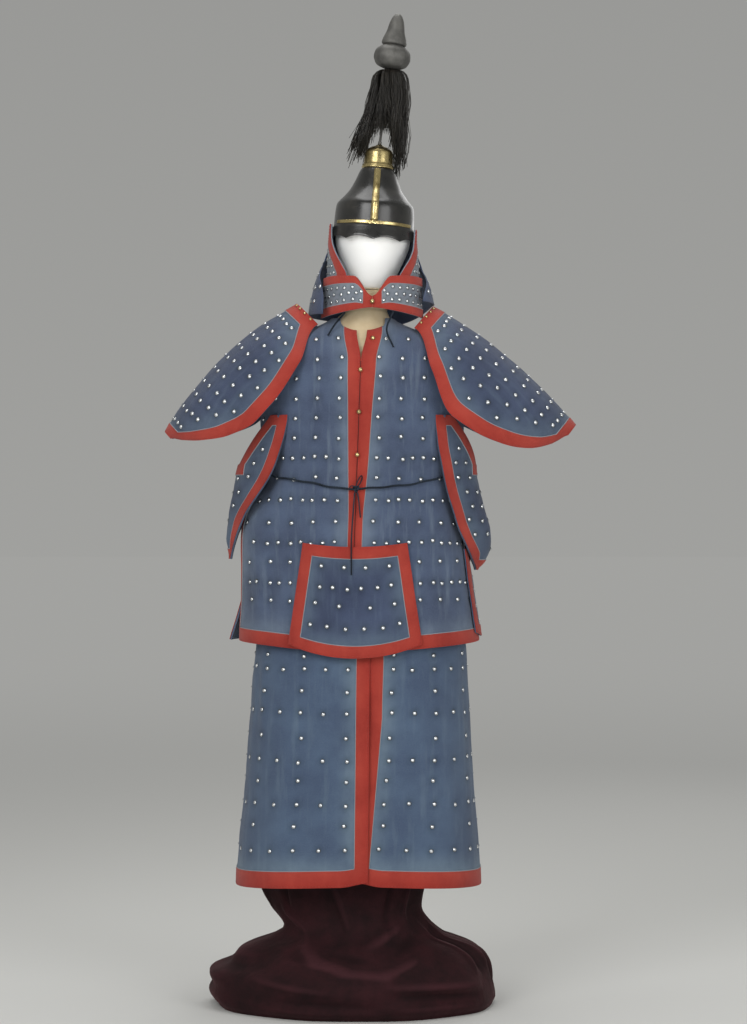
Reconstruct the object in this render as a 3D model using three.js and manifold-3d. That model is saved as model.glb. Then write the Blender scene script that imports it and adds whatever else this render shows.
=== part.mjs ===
// Studded cotton armour on a dress form: helmet with plume and neck guards, jacket, shoulder and armpit
// guards, front and side flaps, two-panel skirt, and the velvet-covered foot that the form stands on.
// Millimetres. +x is the wearer's left, -y the front, +z up, with the origin on the floor under the foot.
import * as THREE from "three";
import { mergeVertices } from "three/addons/utils/BufferGeometryUtils.js";
import Module from "manifold-3d";

const wasm = await Module();
wasm.setup();
const { lerp, clamp, degToRad, smoothstep } = THREE.MathUtils;

// Cloth
const WALL = 4; // padded cotton of the armour panels
const THIN_WALL = 3; // flaps and neck guards
const TRIM = 1.2; // red facing sewn on a panel
const SEAM = 0.3; // gap between pieces that are sewn or rest together
const BORDER = 29; // width of the red facing
const STUD_RADIUS = 4.6;
const STUD_HEIGHT = 3;

// Jacket
const HEM_FRONT_Z = 778;
const HEM_SIDE_Z = 800;
const NECK_FRONT_Z = 1474;
const NECK_SIDE_Z = 1504;
const NECK_RISE = 0.2; // share of the way round in which the neckline rises
const SLIT_TOP_Z = 1120;
const FRONT_LEAN = { run: -16, low: 1010 }; // sideways run of the front edges from the neck down
const NECK_VENT = { low: 1405, halfWidth: 11 }; // unbuttoned notch below the throat
const JACKET_ROWS = 12;
const FRONT_COLUMNS = 5;
const BACK_COLUMNS = 10;
const BUTTON_RADIUS = 5;
const BUTTONS = [
  { z: 1456, sink: 2.6 },
  { z: 1386, sink: 1.1 },
  { z: 1295, sink: 0 },
  { z: 1203, sink: 0 },
];

// Waist cord
const CORD_DIAMETER = 6.5;
const CORD_SIDE_Z = 1166;
const CORD_FRONT_Z = 1130;
const KNOT = { width: 8, depth: 6, height: 9 };
const CORD_END_DIAMETER = 3.2;
const CORD_ENDS = {
  right: [
    { drop: 8.7, out: 8, apart: 3 },
    { drop: 60, out: 10, apart: 6 },
    { drop: 115, out: 11.6, apart: 8 },
    { drop: 185, out: 11.2, apart: 7 },
  ],
  left: [
    { drop: 8.7, out: 8, apart: 3 },
    { drop: 30, out: 9, apart: 6 },
    { drop: 62, out: 10, apart: 9 },
  ],
};

// Skirt
const SKIRT_HEM_Z = 280;
const SKIRT_HEM_BORDER = 36;
const SKIRT_STUDS_TOP_Z = 790;
const SKIRT_TOP_Z = 1030;
const SKIRT_ROWS = 8;
const SKIRT_COLUMNS = 10;
const SKIRT_PARTING = 21; // the panels meet this far to the wearer's left of the middle
// The left panel's front edge slides under the right one towards the hem
const SKIRT_TUCK = { arc: 29, depth: 9, fade: 150, from: 0.3 };
// The hem hangs lower at the sides and back, and lifts at the front opening
const SKIRT_HANG = { side: 14, sideFade: 320, lift: 9, liftArc: 60, liftFade: 130 };
const WAISTBAND = 2.5;

// Flaps
const FLAP_STANDOFF = 3;
const FLAP_BORDER = 24;
const FRONT_FLAP = {
  middle: -15, top: 1014, bottom: 797, sag: 30, halfTop: 110, halfBottom: 142, rows: 4, columns: 6,
};
const SIDE_FLAP = {
  middle: "side", top: 1000, bottom: 818, sag: 10, halfTop: 54, halfBottom: 66, rows: 3, columns: 2,
};

// Guards
const ARMPIT_BORDER = 23;
const ARMPIT_NOTCH = { z: 1184, low: 0.47, high: 0.34 };
const ARMPIT_ROWS = 4;
const GUARD_ROWS = 7;
const GUARD_COLUMNS = 8;
const GUARD_TIP_BORDER = 22;
const GUARD_TURN = degToRad(84);
const GUARD_BACK = { drop: 0.9, from: 0.3, run: 0.5 }; // towards the tip the back edge hangs higher

// Helmet, in its own tilted frame with z = 0 at the rim
const HELMET = { x: 24, z: 1683, tilt: degToRad(4), depthRatio: 1.18 };
const SHELL = 3;
const VISOR = { low: -14, high: 19.6, reach: 0.37, scallops: 4, depth: 7, wall: 2.5 };
const BROW_BAND = { low: 20, high: 27, reach: 0.31, wall: 3 };
const RIDGE = { foot: [87.6, 28], low: 45, high: 145, halfWidth: 8, crest: 5, height: 3.4, taper: 0.8 };
const CUP_Z = 152.4;
const PLUME = { z: 205, tilt: degToRad(4.2), knob: 152, knobRadius: 15.6, finial: 168 };
const STEM_RADIUS = 4;

// Neck guards
const NAPE = { low: -182, lowLeft: -138, high: 20, rows: 5, columns: 12, facedFrom: 2 };
const EAR = { back: 0.53, low: -96, high: 18, border: 0.08 };
const THROAT_EDGE = 0.4;
const TIE_DIAMETER = 4;
const TIES = [
  { name: "right", share: -0.17, from: 1512, to: 1462, gap: 0.9 },
  { name: "left", share: 0.13, from: 1514, to: 1436, gap: 0.3 },
];

// Outside of the jacket, level by level
const TORSO = [
  { z: 770, width: 257, depth: 174 },
  { z: 900, width: 241, depth: 161 },
  { z: 1010, width: 225, depth: 148 },
  { z: 1150, width: 211, depth: 136 },
  { z: 1250, width: 222, depth: 142 },
  { z: 1340, width: 226, depth: 140 },
  { z: 1405, width: 214, depth: 126 },
  { z: 1442, width: 190, depth: 108 },
  { z: 1472, width: 136, depth: 92 },
  { z: 1500, width: 74, depth: 70 },
  { z: 1530, width: 48, depth: 56 },
];

// Width of the facing down the front edges
const FRONT_FACING = [
  { z: 1050, right: 15, left: 16 },
  { z: 1170, right: 19, left: 23 },
  { z: 1300, right: 24, left: 28 },
  { z: 1410, right: 28, left: 33 },
];

// How far the right front and the right side of the back stand off below the waist, beside the open slit
const FLARE = [
  { z: 770, front: 12, back: 38 },
  { z: 850, front: 18, back: 26 },
  { z: 950, front: 31, back: 14 },
  { z: 1010, front: 40, back: 6 },
  { z: 1052, front: 43, back: 0 },
  { z: 1100, front: 30, back: 0 },
  { z: 1150, front: 0, back: 0 },
];
const FLARE_FROM = { front: 0.28, back: 1.3, run: 0.2 };

// Outside of the skirt
const SKIRT = [
  { z: 255, width: 268, depth: 193.5, x: -8 },
  { z: 500, width: 251, depth: 181, x: -6 },
  { z: 780, width: 231, depth: 158, x: -3 },
  { z: 900, width: 213, depth: 142, x: 0 },
  { z: 1040, width: 196, depth: 126, x: 0 },
];

// Cut of the armhole: how far the front and back edges draw in from the side line
const ARMHOLE = [
  { z: 760, inset: 0 },
  { z: 1262, inset: 0 },
  { z: 1290, inset: 34 },
  { z: 1345, inset: 58 },
  { z: 1395, inset: 58 },
  { z: 1432, inset: 34 },
  { z: 1452, inset: 0 },
  { z: 1530, inset: 0 },
];

// Shoulder guards: along the crest from the neck (0) to the tip (1), how far the edges drop from the crest
// and reach to the front and back of it
const GUARD = [
  { s: 0, dropRight: 68, dropLeft: 66, reach: 62 },
  { s: 0.22, dropRight: 124, dropLeft: 129, reach: 126 },
  { s: 0.46, dropRight: 155, dropLeft: 184, reach: 147 },
  { s: 0.6, dropRight: 158, dropLeft: 178, reach: 145 },
  { s: 0.75, dropRight: 134, dropLeft: 156, reach: 130 },
  { s: 0.88, dropRight: 88, dropLeft: 118, reach: 102 },
  { s: 0.96, dropRight: 47, dropLeft: 71, reach: 66 },
  { s: 1, dropRight: 22, dropLeft: 30, reach: 38 },
];
const CREST = {
  right: { neck: [-143, 1537.3], tip: [-433, 1256], bow: 30 },
  left: { neck: [156, 1531.6], tip: [469, 1271], bow: 20 },
};

// Armpit guards: the front edge as a share of the way from front middle to back middle, and how far the
// guard stands off the jacket at that edge and at the side
const ARMPIT = {
  right: [
    { z: 977, edge: 0.486, out: 60, side: 62 },
    { z: 1025, edge: 0.452, out: 57.5, side: 76 },
    { z: 1075, edge: 0.404, out: 51, side: 77.5 },
    { z: 1111, edge: 0.366, out: 42.5, side: 74.5 },
    { z: 1159, edge: 0.326, out: 29, side: 67 },
    { z: 1201, edge: 0.301, out: 18.5, side: 51 },
    { z: 1250, edge: 0.279, out: 9, side: 33 },
    { z: 1290, edge: 0.272, out: 4, side: 19 },
  ],
  left: [
    { z: 953, edge: 0.486, out: 17, side: 20 },
    { z: 970, edge: 0.45, out: 16.5, side: 37.5 },
    { z: 1005, edge: 0.398, out: 17, side: 58.5 },
    { z: 1045, edge: 0.355, out: 18, side: 61.5 },
    { z: 1089, edge: 0.328, out: 20, side: 54.5 },
    { z: 1137, edge: 0.305, out: 21, side: 47 },
    { z: 1180, edge: 0.291, out: 17.5, side: 38 },
    { z: 1235, edge: 0.275, out: 8.5, side: 29.5 },
    { z: 1290, edge: 0.27, out: 4, side: 19 },
  ],
};

// Dress form inside the skirt and jacket, up to where the shoulders carry the jacket
const FORM = [
  { z: 520.3, width: 120, depth: 92 },
  { z: 600, width: 165, depth: 112 },
  { z: 800, width: 182, depth: 118 },
  { z: 1000, width: 188.8, depth: 118.8 },
  { z: 1030, width: 186.2, depth: 116.2 },
  { z: 1150, width: 192, depth: 117 },
  { z: 1340, width: 206, depth: 120 },
];
const FORM_EASE = [12, 9.5, 3.5]; // room between form and jacket on its last rows up to the neck
const FORM_NECK = [
  { z: 1520, width: 47, depth: 50, x: 8, y: 0 },
  { z: 1564.6, width: 45, depth: 49, x: 16, y: -2 },
];
const HEAD = [
  [0, -116], [32, -116], [45, -106], [57, -82], [70, -50], [80, -22], [82.5, 2], [81.5, 26], [77, 52],
  [67.5, 78], [57.4, 98], [40, 112], [18, 121], [0, 124],
];

// Velvet-covered foot, as far as it reaches to each side
const FOOT = [
  { z: 0, right: 322, left: 292, depth: 232, fold: 0.01 },
  { z: 16, right: 334, left: 298, depth: 244, fold: 0.012 },
  { z: 52, right: 342, left: 294, depth: 246, fold: 0.012 },
  { z: 80, right: 336, left: 288, depth: 236, fold: 0.016 },
  { z: 98, right: 306, left: 281, depth: 218, fold: 0.02 },
  { z: 118, right: 276, left: 268, depth: 194, fold: 0.02 },
  { z: 136, right: 252, left: 240, depth: 168, fold: 0.02 },
  { z: 154, right: 204, left: 188, depth: 144, fold: 0.016 },
  { z: 172, right: 176, left: 166, depth: 130, fold: 0.012 },
  { z: 215, right: 198, left: 137, depth: 118, fold: 0.012 },
  { z: 285, right: 226, left: 150, depth: 122, fold: 0.016 },
  { z: 400, right: 196, left: 160, depth: 116, fold: 0.012 },
  { z: 520, right: 150, left: 150, depth: 104, fold: 0 },
];
const FOOT_FOLDS = 9;

// Helmet outlines as [radius, height], from the crown down
const BOWL = [
  [30, 152], [36, 149.5], [41, 140], [48, 122], [58, 102], [72, 84], [81, 74], [85.5, 64], [87.4, 36],
  [88, 0],
];
const BOWL_LINING = [[85, 0], [84.2, 36], [81, 66], [69, 80.5], [45, 119.5], [33, 146.5]];
const CUP = [[0, 0], [36, 0], [35, 6], [32, 10], [31, 34], [27, 41], [18, 47], [8, 50], [7, 52], [0, 52]];
const FINIAL = [
  [0, 0], [14, 0], [31, 6], [39, 18], [40.5, 28], [37, 41], [27, 50], [23, 52.5], [27.5, 56], [26, 66],
  [20, 83], [15.8, 103], [10.5, 116], [5, 122], [0, 123.5],
];
const BROW = [
  { z: -16, width: 93, depth: 114 },
  { z: 8, width: 90.2, depth: 108 },
  { z: 20, width: 88.8, depth: 105 },
  { z: 46, width: 88, depth: 103.8 },
];

// Neck guards: the cape round the nape in the helmet's frame, and the collar at the throat
const CAPE = [
  { z: -190, width: 141, depth: 152, x: 12 },
  { z: -118, width: 131, depth: 138, x: 8 },
  { z: -60, width: 110, depth: 122, x: 4 },
  { z: 0, width: 91.6, depth: 107.4, x: 0 },
  { z: 24, width: 91.2, depth: 107, x: 0 },
];
const EAR_FRONT = [
  { z: -96, share: 0.17, out: -20.5, flip: 0 },
  { z: -74, share: 0.2, out: -14, flip: 3 },
  { z: -48, share: 0.25, out: -6, flip: 7 },
  { z: -20, share: 0.295, out: 0, flip: 10.5 },
  { z: -6, share: 0.31, out: 0, flip: 12 },
  { z: 18, share: 0.325, out: 0, flip: 11 },
];
// How far the nape guard's front edges come forward
const NAPE_EDGE = [
  { z: -182, share: 0.26 },
  { z: -150, share: 0.27 },
  { z: -124, share: 0.33 },
  { z: -104, share: 0.45 },
  { z: -94, share: 0.54 },
  { z: 20, share: 0.54 },
];
const THROAT = [
  { z: 1480, width: 114, depth: 120, x: 22 },
  { z: 1620, width: 110, depth: 118, x: 23 },
];
const THROAT_EDGES = [
  { share: 0, low: 1521, high: 1546 },
  { share: 0.11, low: 1516, high: 1590 },
  { share: 0.25, low: 1508, high: 1592 },
  { share: 0.4, low: 1503, high: 1590 },
];

// Plume locks in two layers, and how far the hair hangs and drifts by the way that it faces
const LOCKS = [
  { count: 13, radius: 42, size: 6, reach: 1 },
  { count: 6, radius: 24, size: 5.5, reach: 0.82 },
];
const HANG = { middle: 118, left: 236, right: 196, uneven: 8, driftLeft: -10, driftRight: -44 };

const fabric = (hex) => new THREE.MeshStandardMaterial({ color: hex, roughness: 0.92, metalness: 0 });
const glossy = (hex, roughness) => new THREE.MeshStandardMaterial({ color: hex, roughness, metalness: 0 });
const metal = (hex, roughness) => new THREE.MeshStandardMaterial({ color: hex, roughness, metalness: 1 });
const BLUE = fabric(0x3f5273);
const PALE_BLUE = fabric(0x67748a);
const RED = fabric(0xb03a2e);
const VELVET = fabric(0x3a1218);
const CALICO = fabric(0xc9ad82);
const WHITE = fabric(0xf2f1ee);
const STRING = fabric(0x1f2630);
const HAIR = glossy(0x15140f, 0.5);
const LACQUER = glossy(0x17181a, 0.25);
const BRASS = metal(0xb08d45, 0.35);
const PEWTER = metal(0x6b6b69, 0.55);

const SIDES = [
  { name: "right", sign: -1 },
  { name: "left", sign: 1 },
];

const smooth = (t) => smoothstep(t, 0, 1);
const spread = (from, to, count) =>
  Array.from({ length: count + 1 }, (_, k) => from + ((to - from) * k) / count);

// A smooth value from a table's column, at a place along its first column
function read(table, key, at, column) {
  const last = table.length - 1;
  const place = clamp(at, table[0][key], table[last][key]);
  let i = 0;
  while (i < last - 1 && place > table[i + 1][key]) i++;
  const value = (k) => table[k][column] ?? 0;
  const slope = (k) => {
    if (k === 0 || k === last) return 0;
    const before = (value(k) - value(k - 1)) / (table[k][key] - table[k - 1][key]);
    const after = (value(k + 1) - value(k)) / (table[k + 1][key] - table[k][key]);
    return before * after <= 0 ? 0 : (2 * before * after) / (before + after);
  };
  const run = table[i + 1][key] - table[i][key];
  const t = (place - table[i][key]) / run;
  const tangents = slope(i) * t * (1 - t) ** 2 - slope(i + 1) * t * t * (1 - t);
  return lerp(value(i), value(i + 1), smooth(t)) + tangents * run;
}

// A quarter of a rounded oval, as points and the lengths along it
const ROUNDNESS = 2 / 2.3;
const QUARTER_STEPS = 60;
const quarters = new Map();
function quarter(width, depth) {
  const key = `${width.toFixed(3)},${depth.toFixed(3)}`;
  if (!quarters.has(key)) {
    const points = spread(0, Math.PI / 2, QUARTER_STEPS).map((turn) => [
      width * Math.sin(turn) ** ROUNDNESS,
      -depth * Math.max(Math.cos(turn), 0) ** ROUNDNESS,
    ]);
    const lengths = [0];
    for (let k = 1; k < points.length; k++) {
      const step = Math.hypot(points[k][0] - points[k - 1][0], points[k][1] - points[k - 1][1]);
      lengths.push(lengths[k - 1] + step);
    }
    quarters.set(key, { points, lengths });
  }
  return quarters.get(key);
}

// Half the girth of a form at a level: front middle to back middle
function halfGirth(form, z) {
  return 2 * quarter(read(form, "z", z, "width"), read(form, "z", z, "depth")).lengths.at(-1);
}

// A point on a form: share 0 at the front middle, 1 at the back middle, negative to the wearer's right
function around(form, z, share, out = 0) {
  let part = share;
  if (part > 1) part -= 2;
  if (part < -1) part += 2;
  const { points, lengths } = quarter(read(form, "z", z, "width") + out, read(form, "z", z, "depth") + out);
  const fold = Math.abs(part) <= 0.5 ? Math.abs(part) : 1 - Math.abs(part);
  const wanted = fold * 2 * lengths.at(-1);
  let k = 0;
  while (k < lengths.length - 2 && lengths[k + 1] < wanted) k++;
  const t = (wanted - lengths[k]) / (lengths[k + 1] - lengths[k]);
  const x = lerp(points[k][0], points[k + 1][0], t);
  const y = lerp(points[k][1], points[k + 1][1], t);
  const toBack = Math.abs(part) > 0.5 ? -1 : 1;
  const middle = [read(form, "z", z, "x"), read(form, "z", z, "y")];
  return new THREE.Vector3(middle[0] + Math.sign(part || 1) * x, middle[1] + toBack * y, z);
}

// A point on a form with the way out of it there
function onForm(form, z, share, out = 0) {
  const across = around(form, z, share + 0.002, out).sub(around(form, z, share - 0.002, out));
  const up = around(form, z + 0.5, share, out).sub(around(form, z - 0.5, share, out));
  return { at: around(form, z, share, out), way: across.cross(up).normalize() };
}

// A closed geometry from corners and triangles, turned to face out
function solid(corners, triangles) {
  let volume = 0;
  for (const [a, b, c] of triangles) volume += corners[a].dot(corners[b].clone().cross(corners[c]));
  const index = triangles.flatMap(([a, b, c]) => (volume < 0 ? [a, c, b] : [a, b, c]));
  const positions = new Float32Array(corners.flatMap((p) => [p.x, p.y, p.z]));
  return new THREE.BufferGeometry()
    .setAttribute("position", new THREE.BufferAttribute(positions, 3))
    .setIndex(index);
}

// A ready-made shape as one closed body without collapsed triangles
function closed(shape) {
  shape.deleteAttribute("normal");
  shape.deleteAttribute("uv");
  const merged = mergeVertices(shape, 1e-3);
  const at = merged.getAttribute("position");
  const places = Array.from({ length: at.count }, (_, k) => k);
  const corners = places.map((k) => new THREE.Vector3().fromBufferAttribute(at, k));
  const triangles = [];
  for (let k = 0; k < merged.index.count; k += 3) {
    const [a, b, c] = [0, 1, 2].map((n) => merged.index.getX(k + n));
    if (a !== b && b !== c && a !== c) triangles.push([a, b, c]);
  }
  return solid(corners, triangles);
}

// A net of points in rows and columns, laid on a form
function net(rows, columns, place) {
  const laid = rows.map((row, i) => columns.map((column, j) => place(row, column, i, j)));
  const points = laid.map((line) => line.map(({ at }) => at));
  const normals = laid.map((line) => line.map(({ way }) => way));
  return { points, normals };
}

// A net of free points, with the way out found from their neighbours
function freeNet(rows, columns, place, facing) {
  const points = rows.map((row, i) => columns.map((column, j) => place(row, column, i, j)));
  const normals = points.map((line, i) =>
    line.map((_, j) => {
      const above = points[Math.min(i + 1, rows.length - 1)][j];
      const below = points[Math.max(i - 1, 0)][j];
      const after = line[Math.min(j + 1, line.length - 1)];
      const before = line[Math.max(j - 1, 0)];
      const across = after.clone().sub(before);
      return across.cross(above.clone().sub(below)).multiplyScalar(facing).normalize();
    }),
  );
  return { points, normals };
}

// A wall between two heights over a net, on the cells that `covers` picks, with studs where `studded` says
function wall(surface, low, high, covers = () => true, studded = () => false) {
  const { points, normals } = surface;
  const rows = points.length - 1;
  const columns = points[0].length - 1;
  const corners = [];
  const triangles = [];
  const known = new Map();
  const corner = (i, j, height) => {
    const key = `${i},${j},${height}`;
    if (!known.has(key)) {
      known.set(key, corners.push(points[i][j].clone().addScaledVector(normals[i][j], height)) - 1);
    }
    return known.get(key);
  };
  const inside = (i, j) => i >= 0 && j >= 0 && i < rows && j < columns && covers(i, j);
  const quad = (a, b, c, d) => triangles.push([a, b, c], [a, c, d]);
  const stud = (ring, way) => {
    const at = ring.map((k) => corners[k]);
    const middle = at.reduce((sum, p) => sum.add(p), new THREE.Vector3()).divideScalar(4);
    const right = at[1].clone().add(at[2]).sub(at[0]).sub(at[3]).normalize();
    const up = at[2].clone().add(at[3]).sub(at[0]).sub(at[1]).normalize();
    const foot = [[-1, -1], [1, -1], [1, 1], [-1, 1]].map(([u, v]) => {
      const p = middle.clone().addScaledVector(right, u * STUD_RADIUS).addScaledVector(up, v * STUD_RADIUS);
      return corners.push(p) - 1;
    });
    const tip = corners.push(middle.clone().addScaledVector(way, STUD_HEIGHT)) - 1;
    for (let k = 0; k < 4; k++) {
      const next = (k + 1) % 4;
      quad(ring[k], ring[next], foot[next], foot[k]);
      triangles.push([foot[k], foot[next], tip]);
    }
  };
  for (let i = 0; i < rows; i++) {
    for (let j = 0; j < columns; j++) {
      if (!inside(i, j)) continue;
      const cell = [[i, j], [i, j + 1], [i + 1, j + 1], [i + 1, j]];
      const top = cell.map(([r, c]) => corner(r, c, high));
      const under = cell.map(([r, c]) => corner(r, c, low));
      triangles.push([under[2], under[1], under[0]], [under[3], under[2], under[0]]);
      if (studded(i, j)) stud(top, normals[i][j]);
      else quad(...top);
      const neighbours = [[i - 1, j], [i, j + 1], [i + 1, j], [i, j - 1]];
      neighbours.forEach(([r, c], k) => {
        const next = (k + 1) % 4;
        if (!inside(r, c)) quad(under[k], under[next], top[next], top[k]);
      });
    }
  }
  return solid(corners, triangles);
}

// A body through closed rings of equal count, capped at both ends
function loft(rings) {
  const count = rings[0].length;
  const corners = rings.flat();
  const triangles = [];
  for (let i = 0; i + 1 < rings.length; i++) {
    for (let k = 0; k < count; k++) {
      const [a, b] = [i * count + k, i * count + ((k + 1) % count)];
      triangles.push([a, b, b + count], [a, b + count, a + count]);
    }
  }
  const cap = (ring, start, turn) => {
    const centre = ring.reduce((sum, p) => sum.add(p), new THREE.Vector3()).divideScalar(count);
    const middle = corners.push(centre) - 1;
    for (let k = 0; k < count; k++) {
      const pair = [start + k, start + ((k + 1) % count)];
      triangles.push(turn ? [pair[1], pair[0], middle] : [pair[0], pair[1], middle]);
    }
  };
  cap(rings[0], 0, true);
  cap(rings.at(-1), (rings.length - 1) * count, false);
  return solid(corners, triangles);
}

// A round body turned about z from [radius, height] pairs, made oval by its depth
function turned(profile, segments, depthRatio = 1) {
  const outline = profile.map(([radius, height]) => new THREE.Vector2(radius, height));
  return closed(new THREE.LatheGeometry(outline, segments).rotateX(Math.PI / 2).scale(1, depthRatio, 1));
}

// A cord of round section along points
function cord(points, diameter, steps, sides = 6) {
  const turns = spread(0, 2 * Math.PI, sides).slice(0, sides);
  const radius = diameter / 2;
  const rim = turns.map((turn) => new THREE.Vector2(radius * Math.cos(turn), radius * Math.sin(turn)));
  const extrudePath = new THREE.CatmullRomCurve3(points);
  const options = { steps, bevelEnabled: false, extrudePath };
  return closed(new THREE.ExtrudeGeometry(new THREE.Shape(rim), options));
}

const ball = (width, depth = width, height = width) =>
  closed(new THREE.OctahedronGeometry(1, 1).scale(width, depth, height));

const toManifold = (geometry) =>
  new wasm.Manifold(
    new wasm.Mesh({
      numProp: 3,
      vertProperties: geometry.getAttribute("position").array,
      triVerts: new Uint32Array(geometry.index.array),
    }),
  );

// Several closed bodies joined into one
function joined(geometries) {
  const mesh = geometries.map(toManifold).reduce((all, next) => all.add(next)).getMesh();
  return new THREE.BufferGeometry()
    .setAttribute("position", new THREE.BufferAttribute(new Float32Array(mesh.vertProperties), 3))
    .setIndex(new THREE.BufferAttribute(mesh.triVerts, 1));
}

const armour = new THREE.Group();
const helmet = new THREE.Group();
helmet.position.set(HELMET.x, 0, HELMET.z);
helmet.rotation.y = HELMET.tilt;
armour.add(helmet);
const plume = new THREE.Group();
plume.position.set(0, 0, PLUME.z);
plume.rotation.y = PLUME.tilt;
helmet.add(plume);

function piece(name, geometry, material, parent = armour) {
  const mesh = new THREE.Mesh(geometry, material);
  mesh.name = name;
  parent.add(mesh);
  return mesh;
}

// Marks across a panel: a facing, even cells, and a facing
const faced = (count) => [0, ...spread(0, 1, count), 1];
function acrossFaced(marks, j, length, border, first = border) {
  if (j === 0) return 0;
  if (j === marks.length - 1) return length;
  return lerp(first, length - border, marks[j]);
}

// The lattice of studs
const lattice = (i, j) => (i + j) % 2 === 0;

// Jacket
const frontLean = (z) => FRONT_LEAN.run * clamp((NECK_FRONT_Z - z) / (NECK_FRONT_Z - FRONT_LEAN.low), 0, 1);
const vent = (z) => NECK_VENT.halfWidth * smooth((z - NECK_VENT.low) / (NECK_FRONT_Z - NECK_VENT.low));
const sideness = (share) => smooth(Math.min(Math.abs(share), 0.5) * 2);
const jacketHem = (share) => lerp(HEM_FRONT_Z, HEM_SIDE_Z, sideness(share));
const jacketNeck = (share) => lerp(NECK_FRONT_Z, NECK_SIDE_Z, smooth(Math.abs(share) / NECK_RISE));
const jacketRows = [0, ...spread(BORDER / (NECK_SIDE_Z - HEM_SIDE_Z), 1, JACKET_ROWS)];
const jacketZ = (row, share) => lerp(jacketHem(share), jacketNeck(share), row);
const inSlit = (i) => jacketZ(jacketRows[i + 1], 0.5) < SLIT_TOP_Z;
const underCord = (i) => {
  const [low, high] = [jacketZ(jacketRows[i], 0.5), jacketZ(jacketRows[i + 1], 0.5)];
  return low < CORD_SIDE_Z + CORD_DIAMETER && high > CORD_FRONT_Z - CORD_DIAMETER;
};

function jacketFront({ name, sign }) {
  const marks = faced(FRONT_COLUMNS);
  const last = marks.length - 2;
  const surface = net(jacketRows, marks, (row, _, i, j) => {
    const z = jacketZ(row, (0.5 * j) / (marks.length - 1));
    const half = halfGirth(TORSO, z);
    const start = sign * frontLean(z) + SEAM / 2 + vent(z);
    const end = half / 2 - SEAM / 2 - read(ARMHOLE, "z", z, "inset");
    const facing = read(FRONT_FACING, "z", z, name);
    const arc = start + acrossFaced(marks, j, end - start, BORDER, facing);
    const flare = read(FLARE, "z", z, "front") * smooth((arc / half - FLARE_FROM.front) / FLARE_FROM.run);
    return onForm(TORSO, z, (sign * arc) / half, sign < 0 ? flare : 0);
  });
  const bordered = (i, j) => i === 0 || j === 0 || (j === last && inSlit(i));
  const studded = (i, j) => !bordered(i, j) && j < last && !underCord(i) && lattice(i, j);
  piece(`jacket_front_${name}`, wall(surface, -WALL, 0, undefined, studded), BLUE);
  piece(`jacket_front_${name}_border`, wall(surface, SEAM, SEAM + TRIM, bordered), RED);
}

function jacketBack() {
  const marks = faced(BACK_COLUMNS);
  const last = marks.length - 2;
  const surface = net(jacketRows, marks, (row, _, i, j) => {
    const z = jacketZ(row, 0.5);
    const half = halfGirth(TORSO, z);
    const inset = SEAM / 2 + read(ARMHOLE, "z", z, "inset");
    const arc = half / 2 + inset + acrossFaced(marks, j, half - 2 * inset, BORDER);
    const flare = read(FLARE, "z", z, "back") * smooth((arc / half - FLARE_FROM.back) / FLARE_FROM.run);
    return onForm(TORSO, z, arc / half, flare);
  });
  const bordered = (i, j) => i === 0 || ((j === 0 || j === last) && inSlit(i));
  const studded = (i, j) => !bordered(i, j) && j > 0 && j < last && !underCord(i) && lattice(i, j);
  piece("jacket_back", wall(surface, -WALL, 0, undefined, studded), BLUE);
  piece("jacket_back_border", wall(surface, SEAM, SEAM + TRIM, bordered), RED);
}

function buttons() {
  BUTTONS.forEach(({ z, sink }, k) => {
    const aside = vent(z) > 1 ? vent(z) + BORDER / 2 : 0;
    const share = (frontLean(z) + aside) / halfGirth(TORSO, z);
    const at = around(TORSO, z, share, 2 * SEAM + TRIM + BUTTON_RADIUS - sink);
    piece(`jacket_button_${k + 1}`, ball(BUTTON_RADIUS), BRASS).position.copy(at);
  });
}

// Skirt
const skirtRows = [
  SKIRT_HEM_Z,
  ...spread(SKIRT_HEM_Z + SKIRT_HEM_BORDER, SKIRT_STUDS_TOP_Z, SKIRT_ROWS),
  lerp(SKIRT_STUDS_TOP_Z, SKIRT_TOP_Z, 0.5),
  SKIRT_TOP_Z - BORDER,
  SKIRT_TOP_Z,
];

// A level of the skirt as it hangs, at a share of the way round and an arc from the front edge
function skirtHang(z, share, arc) {
  const above = z - SKIRT_HEM_Z;
  const sag = SKIRT_HANG.side * sideness(share) * (1 - smooth(above / SKIRT_HANG.sideFade));
  const nearEdge = 1 - smooth(arc / SKIRT_HANG.liftArc);
  const lift = SKIRT_HANG.lift * nearEdge * (1 - smooth(above / SKIRT_HANG.liftFade));
  return z - sag + lift;
}

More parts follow.
